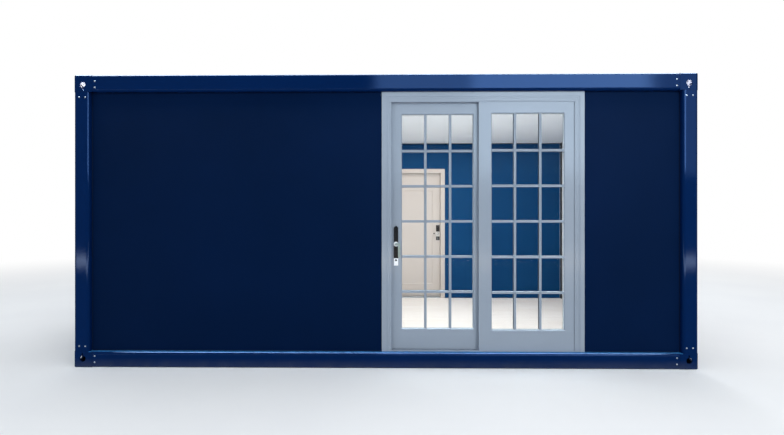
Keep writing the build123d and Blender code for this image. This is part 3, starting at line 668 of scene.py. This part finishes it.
def frame_bolts():
    """Four bolts at each casting on every side of the frame."""
    shape = Shape()
    rail_heights = [CEILING + rise for rise in RAIL_BOLT_RISES]
    rail_heights += [FLOOR - rise for rise in RAIL_BOLT_RISES]
    post_heights = (CEILING - POST_BOLT_RISE, FLOOR + POST_BOLT_RISE)
    for side in (-1, 1):
        for end in (-1, 1):
            x = end * (CABIN_HIGH.x - CASTING_SIZE.x - RAIL_BOLT_INSET)
            y = end * (CABIN_HIGH.y - CASTING_SIZE.y - RAIL_BOLT_INSET)
            places = [(x, y, z) for z in rail_heights]
            for inset in POST_BOLT_INSETS:
                x, y = end * (CABIN_HIGH.x - inset), end * (CABIN_HIGH.y - inset)
                places += [(x, y, z) for z in post_heights]
            for x, y, z in places:
                button_head(shape, (x, side * FRAME_Y, z), (0, side, 0))
                button_head(shape, (side * FRAME_X, y, z), (side, 0, 0))
    shape.piece("frame_bolts", zinc, "cabin", "satin_steel")


frame_bolts()

# Joints of the walls

SEALANT = 0.006


def wall_sealant():
    """Navy sealant round every outer wall field."""
    shape = Shape()
    section = fillet_bead(SEALANT)
    front = [(-POST_INNER_X, DOOR_LEFT, FLOOR), (DOOR_RIGHT, POST_INNER_X, FLOOR)]
    rear = [
        (-POST_INNER_X, REAR_LEFT, FLOOR), (REAR_RIGHT, POST_INNER_X, FLOOR),
        (REAR_LEFT, REAR_RIGHT, REAR_TOP),
    ]
    for side, fields in ((-1, front), (1, rear)):
        for x0, x1, z0 in fields:
            shape.upright_ring(section, (x0, z0), (x1, CEILING), side * WALL_Y, side)
    for side in (-1, 1):
        x = side * WALL_X
        corners = [
            (x, -POST_INNER_Y, FLOOR), (x, POST_INNER_Y, FLOOR),
            (x, POST_INNER_Y, CEILING), (x, -POST_INNER_Y, CEILING),
        ]
        if side < 0:
            corners.reverse()
        shape.ring(section, corners, (side, 0, 0))
    shape.piece("wall_sealant", navy_seal, "cabin", "wall_navy")


wall_sealant()

# Trims inside the room

COVE = 0.014
TRIM_WIDTH = 0.005
TRIM_DEPTH = 0.092
TRIM_CHAMFER = 0.003
STRIP_WIDTH = 0.0015
STRIP_DEPTH = 0.065
LIP_WIDTH = 0.012
LIP_HEIGHT = 0.003


def ceiling_cove():
    """Small white cove between the walls and the ceiling."""
    shape = Shape()
    section = fillet_bead(COVE)
    x, y = WALL_INNER_X, WALL_INNER_Y
    stop_x, stop_y = x - COVER_WIDTH - TRIM_WIDTH, y - COVER_WIDTH - TRIM_WIDTH
    for start, end in (
        ((stop_x, y), (-stop_x, y)), ((-stop_x, -y), (DOOR_LEFT, -y)),
        ((DOOR_RIGHT, -y), (stop_x, -y)), ((x, -stop_y), (x, stop_y)),
        ((-x, stop_y), (-x, -stop_y)),
    ):
        shape.run(section, (*start, CEILING), (*end, CEILING), (0, 0, -1))
    shape.piece("ceiling_cove", ceiling, "cabin", "ceiling_white")


def corner_trims():
    """White trims beside the corner covers, each with a black strip and a grey lip on the wall."""
    edge = COVER_WIDTH + TRIM_WIDTH
    far = edge + STRIP_WIDTH
    trim = [
        (COVER_WIDTH, 0.0), (edge, 0.0), (edge, TRIM_DEPTH - TRIM_CHAMFER),
        (edge - TRIM_CHAMFER, TRIM_DEPTH), (COVER_WIDTH, TRIM_DEPTH),
    ]
    strip = [(edge, 0.0), (far, 0.0), (far, STRIP_DEPTH), (edge, STRIP_DEPTH)]
    bead = rounded_bead(LIP_WIDTH, LIP_HEIGHT)
    lip = [(far + LIP_WIDTH / 2 + across, up) for across, up in bead]
    trims, strips, lips = Shape(), Shape(), Shape()
    for side_x in (-1, 1):
        for side_y in (-1, 1):
            foot = (side_x * WALL_INNER_X, side_y * WALL_INNER_Y, FLOOR)
            ways = (-side_x, 0, 0), (0, -side_y, 0)
            for across, out in (ways, ways[::-1]):
                for shape, section in ((trims, trim), (strips, strip), (lips, lip)):
                    shape.extrude(section, foot, across, out, (0, 0, 1), CEILING - FLOOR)
    trims.piece("corner_trims", ceiling, "cabin", "door_white")
    strips.piece("corner_strips", seal, "cabin", "wall_navy")
    lips.piece("corner_lips", grey_seal, "cabin", "door_grey_blue")


ceiling_cove()
corner_trims()

# Sliding door

BAR_WIDTH = 0.024
BAR_PROUD = 0.005
BAR_CHAMFER = 0.0025
BAR_GROOVE = 0.0028
BAR_GROOVE_DEPTH = 0.0018
BAR_HEIGHTS = (2.080, 1.739, 1.398, 1.056, 0.715)
SLIDER_BARS = (0.403, 0.643)
FIXED_BARS = (1.2585, 1.501)
GASKET_WIDTH = 0.0018
GASKET_HEIGHT = 0.00126
SPACER_WIDTH = 0.008
SPACER_DEPTH = 0.020
CASING_BEAD_INSETS = (0.060, 0.082)
CASING_BEAD_WIDTH = 0.005
CASING_BEAD_HEIGHT = 0.0016
CASING_SEALANT = 0.004
BRUSH_NEAR = SLIDER_Y - LEAF_HALF - 0.0047
BRUSH_FAR = SLIDER_Y - LEAF_HALF - 0.0003
BRUSH_HOLD = 0.012
BRUSH_REACH = 0.003
BRUSH_FOOT = 0.010
BRUSH_LAP = 0.004
JOINT_HALF = 0.0016
JOINT_DEPTH = 0.0065
JOINT_HOLLOW = 0.0055
JOINT_BACK = 0.0075
PULL_SCREW_RADIUS = 0.0042
PULL_FOOT_SCREW = PULL_LOW[2] + 0.014
PULL_TOP_SCREW = PULL_HIGH[2] - 0.030
PULL_CYLINDER_Z = PULL_FOOT - 0.018
GRIP_WIDTH = 0.004
GRIP_HEIGHT = 0.0014
GRIP_END = 0.002
SILL_GRIPS = (0.008, 0.016, 0.024)
THRESHOLD_GRIPS = 6
THRESHOLD_GRIP_PITCH = 0.006


def glass_opening(glass_node):
    """Corners (x, z) of the opening that shows a leaf's glass."""
    low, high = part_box(glass_node)
    side, foot = PANE_SIDE_COVER, PANE_FOOT_COVER
    return (low[0] + side, low[2] + foot), (high[0] - side, high[2] - side)


def glazing_bars(name, body, glass_node, leaf_y, bar_places):
    """Lattice on both faces of one leaf's glass, each bar with a shallow groove down its middle."""
    (x0, z0), (x1, z1) = glass_opening(glass_node)
    half, proud = BAR_WIDTH / 2, BAR_PROUD
    section = [
        (-half, 0.0), (half, 0.0), (half, proud - BAR_CHAMFER), (half - BAR_CHAMFER, proud),
        (BAR_GROOVE, proud), (0.0, proud - BAR_GROOVE_DEPTH), (-BAR_GROOVE, proud),
        (-half + BAR_CHAMFER, proud), (-half, proud - BAR_CHAMFER),
    ]
    shape = Shape()
    for outward in (-1, 1):
        face = leaf_y + outward * PANE_FACE
        for x in bar_places:
            shape.run(section, (x, face, z0), (x, face, z1), (0, outward, 0))
        for z in BAR_HEIGHTS:
            shape.run(section, (x0, face, z), (x1, face, z), (0, outward, 0))
    shape.piece(name, door, body, "door_grey_blue")


def glass_gasket(name, body, glass_node, leaf_y):
    """Painted gasket round the glass on both faces of one leaf."""
    (x0, z0), (x1, z1) = glass_opening(glass_node)
    shape = Shape()
    section = rounded_bead(GASKET_WIDTH, GASKET_HEIGHT, 4)
    half = GASKET_WIDTH / 2
    for outward in (-1, 1):
        face = leaf_y + outward * PANE_FACE
        shape.upright_ring(section, (x0 + half, z0 + half), (x1 - half, z1 - half), face, outward)
    shape.piece(name, door, body, "door_grey_blue")


def glazing_spacer(name, body, glass_node, leaf_y):
    """White spacer between the two sheets of a leaf's glass, just outside the part that shows."""
    (x0, z0), (x1, z1) = glass_opening(glass_node)
    half, depth = SPACER_WIDTH / 2, SPACER_DEPTH
    section = [(-half, 0.0), (half, 0.0), (half, depth), (-half, depth)]
    low, high = (x0 - half, z0 - half), (x1 + half, z1 + half)
    shape = Shape()
    shape.upright_ring(section, low, high, leaf_y + depth / 2, -1)
    shape.piece(name, ceiling, body, "door_white")


def casing_beads():
    """Two fine beads on the main face of the door frame, up its jambs and along its head."""
    shape = Shape()
    section = rounded_bead(CASING_BEAD_WIDTH, CASING_BEAD_HEIGHT, 4)
    for inset in CASING_BEAD_INSETS:
        low, high = (DOOR_LEFT + inset, FLOOR), (DOOR_RIGHT - inset, CEILING - inset)
        shape.doorway(section, low, high, SILL_LOW[1], -1)
    shape.piece("casing_beads", door, "cabin", "door_grey_blue")


def casing_sealant():
    """Pale sealant between the door frame and the wall sheet."""
    shape = Shape()
    section = fillet_bead(CASING_SEALANT)
    y = -WALL_Y
    shape.run(section, (DOOR_LEFT, y, CEILING), (DOOR_LEFT, y, FLOOR), (0, -1, 0))
    shape.run(section, (DOOR_RIGHT, y, FLOOR), (DOOR_RIGHT, y, CEILING), (0, -1, 0))
    shape.piece("casing_sealant", grey_seal, "cabin", "door_grey_blue")


def track_brushes():
    """Brush strips that the sliding leaf closes against at the jamb, the head and the lap."""
    shape = Shape()
    jamb, head, lap = DOOR_LEFT + DOOR_FACE, CEILING - DOOR_FACE, FIXED_LOW[0]
    for x0, z0, x1, z1 in (
        (jamb - BRUSH_HOLD, FLOOR + BRUSH_FOOT, jamb + BRUSH_REACH, head),
        (jamb - BRUSH_HOLD, head, lap, head + BRUSH_HOLD),
        (lap + BRUSH_LAP, FIXED_LOW[2] + BRUSH_LAP, lap + BRUSH_HOLD, FIXED_HIGH[2]),
    ):
        shape.block((x0, BRUSH_NEAR, z0), (x1, BRUSH_FAR, z1))
    shape.piece("track_brushes", grey_seal, "cabin", "roller_nylon")


def leaf_joint():
    """Sealant in the joint over the fixed leaf."""
    shape = Shape()
    half = JOINT_HALF
    section = [
        (-half, 0.0), (half, 0.0), (half, JOINT_DEPTH), (0.0, JOINT_HOLLOW), (-half, JOINT_DEPTH),
    ]
    y, z = FIXED_LOW[1] + JOINT_BACK, (FIXED_HIGH[2] + CEILING - DOOR_FACE) / 2
    shape.run(section, (FIXED_LOW[0], y, z), (DOOR_RIGHT - DOOR_FACE, y, z), (0, -1, 0))
    shape.piece("fixed_leaf_joint", door, "cabin", "door_grey_blue")


def pull_details():
    """Screws, lock cylinder and bright rings on both pull plates."""
    ring = [(0.0125, 0.0), (0.0125, 0.0018), (0.0105, 0.0026), (0.0085, 0.0022), (0.0085, 0.0)]
    keyhole = [(0.0084, 0.0), (0.0084, 0.0012), (0.0, 0.0012)]
    rim = [(0.0235, 0.0), (0.0235, 0.0012), (0.0215, 0.0022), (0.0212, 0.0)]
    shape, dark = Shape(), Shape()
    for outward in (-1, 1):
        face, way = SLIDER_Y + outward * PULL_FACE, (0, outward, 0)
        shape.screw((PULL_MIDDLE, face, PULL_FOOT_SCREW), way, PULL_SCREW_RADIUS)
        # Painted reflection: the top screw is black like the plate's dark part, while the foot
        # screw is polished.
        dark.screw((PULL_MIDDLE, face, PULL_TOP_SCREW), way, PULL_SCREW_RADIUS)
        shape.turn(ring, (PULL_MIDDLE, face, PULL_CYLINDER_Z), way, 24)
        dark.turn(keyhole, (PULL_MIDDLE, face, PULL_CYLINDER_Z), way, 20)
        shape.turn(rim, (PULL_MIDDLE, face, PULL_LEVER_Z), way, 28)
    shape.piece("pull_rings", polished, "front_slider", "polished_steel")
    dark.piece("pull_keyholes", seal, "front_slider", "polished_steel")


def grip_ribs(name, material, slot, low, high, top, insets):
    """Fine grip ribs along a sill, at some insets from its inner edge."""
    shape = Shape()
    section = rounded_bead(GRIP_WIDTH, GRIP_HEIGHT, 3)
    for inset in insets:
        y = high[1] - inset
        start, end = (low[0] + GRIP_END, y, top), (high[0] - GRIP_END, y, top)
        shape.run(section, start, end, (0, 0, 1))
    shape.piece(name, material, "cabin", slot)


glazing_bars("slider_bars", "front_slider", "slider_glass", SLIDER_Y, SLIDER_BARS)
glazing_bars("fixed_leaf_bars", "cabin", "fixed_leaf_glass", FIXED_Y, FIXED_BARS)
glass_gasket("slider_gaskets", "front_slider", "slider_glass", SLIDER_Y)
glass_gasket("fixed_leaf_gaskets", "cabin", "fixed_leaf_glass", FIXED_Y)
glazing_spacer("slider_spacer", "front_slider", "slider_glass", SLIDER_Y)
glazing_spacer("fixed_leaf_spacer", "cabin", "fixed_leaf_glass", FIXED_Y)
casing_beads()
casing_sealant()
track_brushes()
leaf_joint()
pull_details()
grip_ribs("sill_ribs", door, "door_grey_blue", SILL_LOW, SILL_HIGH, SILL_TREAD, SILL_GRIPS)
threshold_insets = [THRESHOLD_GRIP_PITCH * (number + 1) for number in range(THRESHOLD_GRIPS)]
grip_ribs(
    "threshold_ribs", satin, "satin_steel", THRESHOLD_LOW, THRESHOLD_HIGH, THRESHOLD_HIGH[2],
    threshold_insets,
)

# Rear door

PANEL_STILE = 0.139
PANEL_HEAD = 0.290
PANEL_FOOT = 0.200
PANEL_LOW = LEAF_LOW[0] + PANEL_STILE, LEAF_LOW[2] + PANEL_FOOT
PANEL_HIGH = LEAF_HIGH[0] - PANEL_STILE, LEAF_HIGH[2] - PANEL_HEAD
PANEL_DEPTH = 0.006
PANEL_BEVEL = 0.006
PANEL_LIP = 0.001
LEAF_ROUND = 0.002
LEAF_CHAMFER = 0.0006
PANEL_BEAD_WIDTH = 0.008
PANEL_BEAD_HEIGHT = 0.003
PANEL_BEAD_OFFSET = 0.006
STOP_GAP = 0.005
STOP_SEAL_INSET = 0.002
STOP_SEAL_WIDTH = 0.006
STOP_SEAL_HEIGHT = 0.004
HINGE_SCREW_ACROSS = (0.018, 0.031)
FRAME_FLAP_HEIGHT = 0.100
LEAF_FLAP_HEIGHT = 0.050
REAR_SCREW_RADIUS = 0.0045
LOCK_SCREW_INSET = 0.012


def rear_leaf():
    """Rear door leaf with one tall sunk panel on each face, in place of the two in the solid."""
    leaf = (LEAF_LOW[0], LEAF_LOW[2]), (LEAF_HIGH[0], LEAF_HIGH[2])
    panel = PANEL_LOW, PANEL_HIGH
    rings = []
    for y, inward in ((LEAF_LOW[1], 1), (LEAF_HIGH[1], -1)):
        side = [
            upright_rectangle(*panel, PANEL_BEVEL, y + inward * PANEL_DEPTH),
            upright_rectangle(*panel, PANEL_LIP, y + inward * PANEL_LIP),
            upright_rectangle(*panel, 0.0, y),
            upright_rectangle(*leaf, LEAF_ROUND, y),
            upright_rectangle(*leaf, LEAF_CHAMFER, y + inward * LEAF_CHAMFER),
            upright_rectangle(*leaf, 0.0, y + inward * LEAF_ROUND),
        ]
        rings += side if inward > 0 else reversed(side)
    shape = Shape()
    shape.loft(rings)
    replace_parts(shape.piece("rear_leaf_panelled", white, "rear_door", "door_white"), "rear_leaf")


def panel_beads():
    """Slim raised moulding round the panel on both faces of the rear leaf."""
    shape = Shape()
    section = rounded_bead(PANEL_BEAD_WIDTH, PANEL_BEAD_HEIGHT, 6)
    low = PANEL_LOW[0] - PANEL_BEAD_OFFSET, PANEL_LOW[1] - PANEL_BEAD_OFFSET
    high = PANEL_HIGH[0] + PANEL_BEAD_OFFSET, PANEL_HIGH[1] + PANEL_BEAD_OFFSET
    for outward, face in ((-1, LEAF_LOW[1]), (1, LEAF_HIGH[1])):
        shape.upright_ring(section, low, high, face, outward)
    shape.piece("rear_leaf_beads", white, "rear_door", "door_white")


def rear_seal():
    """Black seal on the stop of the rear door frame."""
    shape = Shape()
    section = rounded_bead(STOP_SEAL_WIDTH, STOP_SEAL_HEIGHT, 5)
    low = LEAF_LOW[0] + STOP_SEAL_INSET, THRESHOLD_HIGH[2]
    high = LEAF_HIGH[0] - STOP_SEAL_INSET, LEAF_HIGH[2] - STOP_SEAL_INSET
    shape.doorway(section, low, high, LEAF_LOW[1] - STOP_GAP, 1)
    shape.piece("rear_door_seal", seal, "cabin", "door_white")


def hinge_screws(name, node, body, side, flap_height):
    """Two columns of screws on one body's flaps of the three rear hinges."""
    low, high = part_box(node)
    flap_y = LEAF_HIGH[1] + HINGE_FLAP
    pitch = (high[2] - low[2] - flap_height) / 2
    shape = Shape()
    for number in range(3):
        for across in HINGE_SCREW_ACROSS:
            z = low[2] + HINGE_LOWEST_SCREW + number * pitch
            shape.screw((HINGE_PIN_X + side * across, flap_y, z), (0, 1, 0), REAR_SCREW_RADIUS)
    shape.piece(name, zinc, body, "satin_steel")


def lock_details():
    """Cylinder, keyhole and screws on both plates of the rear door's lever."""
    ring = [(0.011, 0.0), (0.011, 0.0016), (0.0095, 0.0024), (0.008, 0.002), (0.008, 0.0)]
    keyhole = [(0.0079, 0.0), (0.0079, 0.001), (0.0, 0.001)]
    collar = [(0.0165, 0.0), (0.0165, 0.0012), (0.0145, 0.002), (0.0125, 0.002), (0.0125, 0.0)]
    shape, dark = Shape(), Shape()
    for outward, face in ((-1, LEAF_LOW[1] - LOCK_PLATE), (1, LEAF_HIGH[1] + LOCK_PLATE)):
        way = (0, outward, 0)
        for z in (LOCK_LOW[2] + LOCK_SCREW_INSET, LOCK_HIGH[2] - LOCK_SCREW_INSET):
            shape.screw((LOCK_X, face, z), way, REAR_SCREW_RADIUS)
        shape.turn(ring, (LOCK_X, face, LOCK_CYLINDER_Z), way, 22)
        dark.turn(keyhole, (LOCK_X, face, LOCK_CYLINDER_Z), way, 18)
        dark.turn(collar, (LOCK_X, face, REAR_LEVER_Z), way, 24)
    shape.piece("lock_screws", polished, "rear_door", "satin_steel")
    dark.piece("lock_keyholes", seal, "rear_door", "satin_steel")


rear_leaf()
panel_beads()
rear_seal()
hinge_screws("frame_hinge_screws", "rear_frame_hinges", "cabin", -1, FRAME_FLAP_HEIGHT)
hinge_screws("leaf_hinge_screws", "rear_leaf_hinges", "rear_door", 1, LEAF_FLAP_HEIGHT)
lock_details()

# Roof

ROOF_SCREW_ROWS = (-1.15, -0.38, 0.38, 1.15)
FLASHING_WIDTH = 0.055
FLASHING_SHEET = 0.0015
FLASHING_LIP = 0.014
FLASHING_GAP = 0.002
FLASHING_LIFT = 0.0002
CLOSER_INSET = 0.051
CLOSER_WIDTH = 0.012
CLOSER_LIFT = 0.0001


def roof_screws():
    """Screws with domed washers through the roof's ribs."""
    shape = Shape()
    profile = [
        (0.009, 0.0), (0.0085, 0.0012), (0.0055, 0.002),
        (0.005, 0.002), (0.005, 0.0052), (0.0, 0.0058),
    ]
    for number in range(RIBS):
        x = (number - (RIBS - 1) / 2) * RIB_PITCH
        for y in ROOF_SCREW_ROWS:
            shape.turn(profile, (x, y, ROOF_HIGH[2]), (0, 0, 1), 8)
    shape.piece("roof_screws", roof, "cabin", "roof_steel")


def roof_flashing():
    """Folded strips that cover the edges of the roof sheet along the four rails."""
    shape = Shape()
    x, y, z = ROOF_HIGH[0], ROOF_HIGH[1], ROOF_HIGH[2] + FLASHING_LIFT
    inner_x = CABIN_HIGH.x - CASTING_SIZE.x - FLASHING_GAP
    inner_y = CABIN_HIGH.y - CASTING_SIZE.y - FLASHING_GAP
    sheet = FLASHING_SHEET
    fold = [
        (0.0, 0.0), (FLASHING_WIDTH, 0.0), (FLASHING_WIDTH, sheet),
        (sheet, sheet), (sheet, FLASHING_LIP), (0.0, FLASHING_LIP),
    ]
    up = (0, 0, 1)
    shape.extrude(fold, (-inner_x, -y, z), (0, 1, 0), up, (1, 0, 0), 2 * inner_x)
    shape.extrude(fold, (-inner_x, y, z), (0, -1, 0), up, (1, 0, 0), 2 * inner_x)
    shape.extrude(fold, (-x, -inner_y, z), (1, 0, 0), up, (0, 1, 0), 2 * inner_y)
    shape.extrude(fold, (x, -inner_y, z), (-1, 0, 0), up, (0, 1, 0), 2 * inner_y)
    shape.piece("roof_flashing", roof, "cabin", "roof_steel")


def valley_closers():
    """Closers that fill the sheet's valleys under the long flashings."""
    bottom = ROOF_HIGH[2] - RIB_HEIGHT + CLOSER_LIFT
    foot, head = VALLEY_BOTTOM / 2, VALLEY_TOP / 2
    outline = [(-foot, 0.0), (foot, 0.0), (head, RIB_HEIGHT), (-head, RIB_HEIGHT)]
    shape = Shape()
    for number in range(RIBS - 1):
        x = (number + 1 - RIBS / 2) * RIB_PITCH
        for side in (-1, 1):
            start = (x, side * (ROOF_HIGH[1] - CLOSER_INSET), bottom)
            shape.extrude(outline, start, (1, 0, 0), (0, 0, 1), (0, side, 0), CLOSER_WIDTH)
    shape.piece("valley_closers", roof, "cabin", "roof_steel")


roof_screws()
roof_flashing()
valley_closers()

# Stage, light and camera. Some lamps light surfaces, others show only in their gloss.

GROUND_RADIUS = 60.0
GROUND_FADE = (5.0, 16.0)
MIRRORED_SKY = (0.55, 0.8, 1.0, 1.0)
MIRRORED_STRENGTH = 0.3
WORLD_COLOUR = (0.92, 0.96, 1.0, 1.0)
WORLD_STRENGTH = 0.62
SKY_Y, SKY_Z, SKY_HEIGHT = -10.0, 4.45, 3.5
SKY_COLOUR = (0.62, 0.81, 1.0)
SKY_PARTS = (("sky_edge", -0.5, 2.3, 46.0), ("sky", 2.3, 7.5, 92.0), ("sky_far", 7.5, 9.8, 17.0))
CASTING_LAMP_SIZE = (0.08, 0.05)
CASTING_LAMP_POWER = 0.3
CAMERA_PLACE = (0.1265, -5.6105, 1.4195)
CAMERA_TURN = math.radians(0.648)
CAMERA_LENS = 19.87
CAMERA_SHIFT = 0.0021


def ground():
    """Pale floor that fades to white far off and shows dim and blue in reflections."""
    shape = Shape()
    shape.turn([(0.0, 0.0), (GROUND_RADIUS, 0.0)], (0, 0, 0), (0, 0, 1), 96)
    finish = Finish("pale_ground", 0.9, 0.0)
    finish.colour(finish.speckled(finish.noise(0.6, 3.0), srgb(237, 238, 240), srgb(241, 242, 243)))
    finish.bump(finish.noise(120.0, 3.0), 0.0004, 0.2)
    distance = finish.node("ShaderNodeVectorMath", operation="LENGTH")
    finish.link(finish.place, distance.inputs[0])
    far = finish.node("ShaderNodeMapRange", interpolation_type="SMOOTHSTEP")
    far.inputs["From Min"].default_value, far.inputs["From Max"].default_value = GROUND_FADE
    finish.link(distance.outputs["Value"], far.inputs["Value"])
    path = finish.node("ShaderNodeLightPath")
    seen = finish.math("MULTIPLY", far.outputs["Result"], path.outputs["Is Camera Ray"])
    glow = finish.node("ShaderNodeEmission").outputs[0]
    mirrored = finish.node("ShaderNodeEmission")
    mirrored.inputs["Color"].default_value = MIRRORED_SKY
    mirrored.inputs["Strength"].default_value = MIRRORED_STRENGTH
    glossy = path.outputs["Is Glossy Ray"]
    finish.surface(finish.shader.outputs[0], [(seen, glow), (glossy, mirrored.outputs[0])])
    floor = shape.object("ground", finish.material)
    floor.location.z = CABIN_LOW.z


def surroundings():
    """Soft even sky: white to the camera and through glass, dim and blue in reflections."""
    world = bpy.data.worlds.new("studio")
    world.use_nodes = True
    tree = world.node_tree
    background = tree.nodes["Background"]
    background.inputs["Color"].default_value = WORLD_COLOUR
    background.inputs["Strength"].default_value = WORLD_STRENGTH
    clear = tree.nodes.new("ShaderNodeBackground")
    clear.inputs["Color"].default_value = (1, 1, 1, 1)
    mirrored = tree.nodes.new("ShaderNodeBackground")
    mirrored.inputs["Color"].default_value = MIRRORED_SKY
    mirrored.inputs["Strength"].default_value = MIRRORED_STRENGTH
    path = tree.nodes.new("ShaderNodeLightPath")
    seen = tree.nodes.new("ShaderNodeMath")
    seen.operation = "MAXIMUM"
    tree.links.new(path.outputs["Is Camera Ray"], seen.inputs[0])
    tree.links.new(path.outputs["Is Transmission Ray"], seen.inputs[1])
    surface = background.outputs[0]
    for factor, shader in ((path.outputs["Is Glossy Ray"], mirrored), (seen.outputs[0], clear)):
        mix = tree.nodes.new("ShaderNodeMixShader")
        tree.links.new(factor, mix.inputs[0])
        tree.links.new(surface, mix.inputs[1])
        tree.links.new(shader.outputs[0], mix.inputs[2])
        surface = mix.outputs[0]
    tree.links.new(surface, tree.nodes["World Output"].inputs["Surface"])
    bpy.context.scene.world = world


def lamp(name, place, target, size, power, colour=(1.0, 1.0, 1.0), gloss_only=False):
    """Rectangular soft lamp aimed at a point: it lights surfaces, or shows only in gloss."""
    light = bpy.data.lights.new(name, "AREA")
    light.shape = "RECTANGLE"
    light.size, light.size_y = size
    light.energy = power
    light.color = colour
    holder = bpy.data.objects.new(name, light)
    bpy.context.scene.collection.objects.link(holder)
    holder.location = place
    holder.rotation_euler = (Vector(target) - Vector(place)).to_track_quat("-Z", "Y").to_euler()
    holder.visible_camera = False
    holder.visible_transmission = False
    holder.visible_glossy = gloss_only
    holder.visible_diffuse = not gloss_only


def sky_lamp(name, left, right, power):
    """One part of the sky that the front reflects, its power given for a metre of width."""
    middle, width = (left + right) / 2, right - left
    place, target = (middle, SKY_Y, SKY_Z), (middle, 0.0, SKY_Z)
    lamp(name, place, target, (width, SKY_HEIGHT), power * width, SKY_COLOUR, True)


def casting_lamp(name):
    """Small lamp under the top of a hollow casting."""
    low, high = (Vector(corner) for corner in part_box(name))
    middle = (low + high) / 2
    top = Vector((middle.x, middle.y, high.z - 2 * CASTING_WALL))
    lamp(name + "_light", top, middle, CASTING_LAMP_SIZE, CASTING_LAMP_POWER)


def camera():
    """Wide level view from in front of the cabin, fitted to the photograph."""
    lens = bpy.data.cameras.new("camera")
    lens.sensor_width = 36.0
    lens.lens = CAMERA_LENS
    lens.shift_y = CAMERA_SHIFT
    lens.clip_end = 200.0
    holder = bpy.data.objects.new("camera", lens)
    holder.location = CAMERA_PLACE
    holder.rotation_euler = (math.pi / 2, 0.0, CAMERA_TURN)
    bpy.context.scene.collection.objects.link(holder)
    bpy.context.scene.camera = holder


ground()
surroundings()
lamp("key", (5.7, -10.4, 4.2), (0.6, -1.5, 1.2), (4.4, 7.4), 440.0, (1.0, 0.98, 0.95))
lamp("fill", (-7.0, -10.0, 4.5), (-1.0, -1.5, 1.2), (6.0, 5.0), 170.0, (0.93, 0.97, 1.0))
lamp("overhead", (0.0, -1.0, 10.0), (0.0, -0.5, 0.0), (12.0, 7.0), 430.0, (0.95, 0.98, 1.0))
lamp("rear", (2.0, 10.0, 6.0), (0.0, 1.5, 1.4), (8.0, 5.0), 420.0)
for part in SKY_PARTS:
    sky_lamp(*part)
lamp(
    "horizon", (-0.4, -10.0, 0.19), (-0.4, 0.0, 0.19), (18.8, 0.34), 140.0, (1.0, 0.86, 0.7),
    gloss_only=True,
)
lamp(
    "glint", (0.0, -2.0, 9.0), (0.0, -1.5, 0.0), (16.0, 3.5), 8500.0, (0.68, 0.86, 1.0),
    gloss_only=True,
)
lamp("room_front", (1.1, -1.25, 1.45), (1.1, 1.4, 1.15), (4.4, 1.5), 29.0, (1.0, 0.97, 0.93))
lamp("room_top", (0.8, 0.1, 2.6), (0.8, 0.1, 0.0), (5.2, 1.8), 54.0, (1.0, 0.94, 0.89))
lamp("room_up", (0.4, -0.2, 0.5), (0.4, -0.1, 2.6), (4.0, 1.6), 12.0)
for place in ("front_left", "front_right", "rear_left", "rear_right"):
    casting_lamp("casting_top_" + place)
camera()
bpy.context.scene.view_settings.view_transform = "Standard"
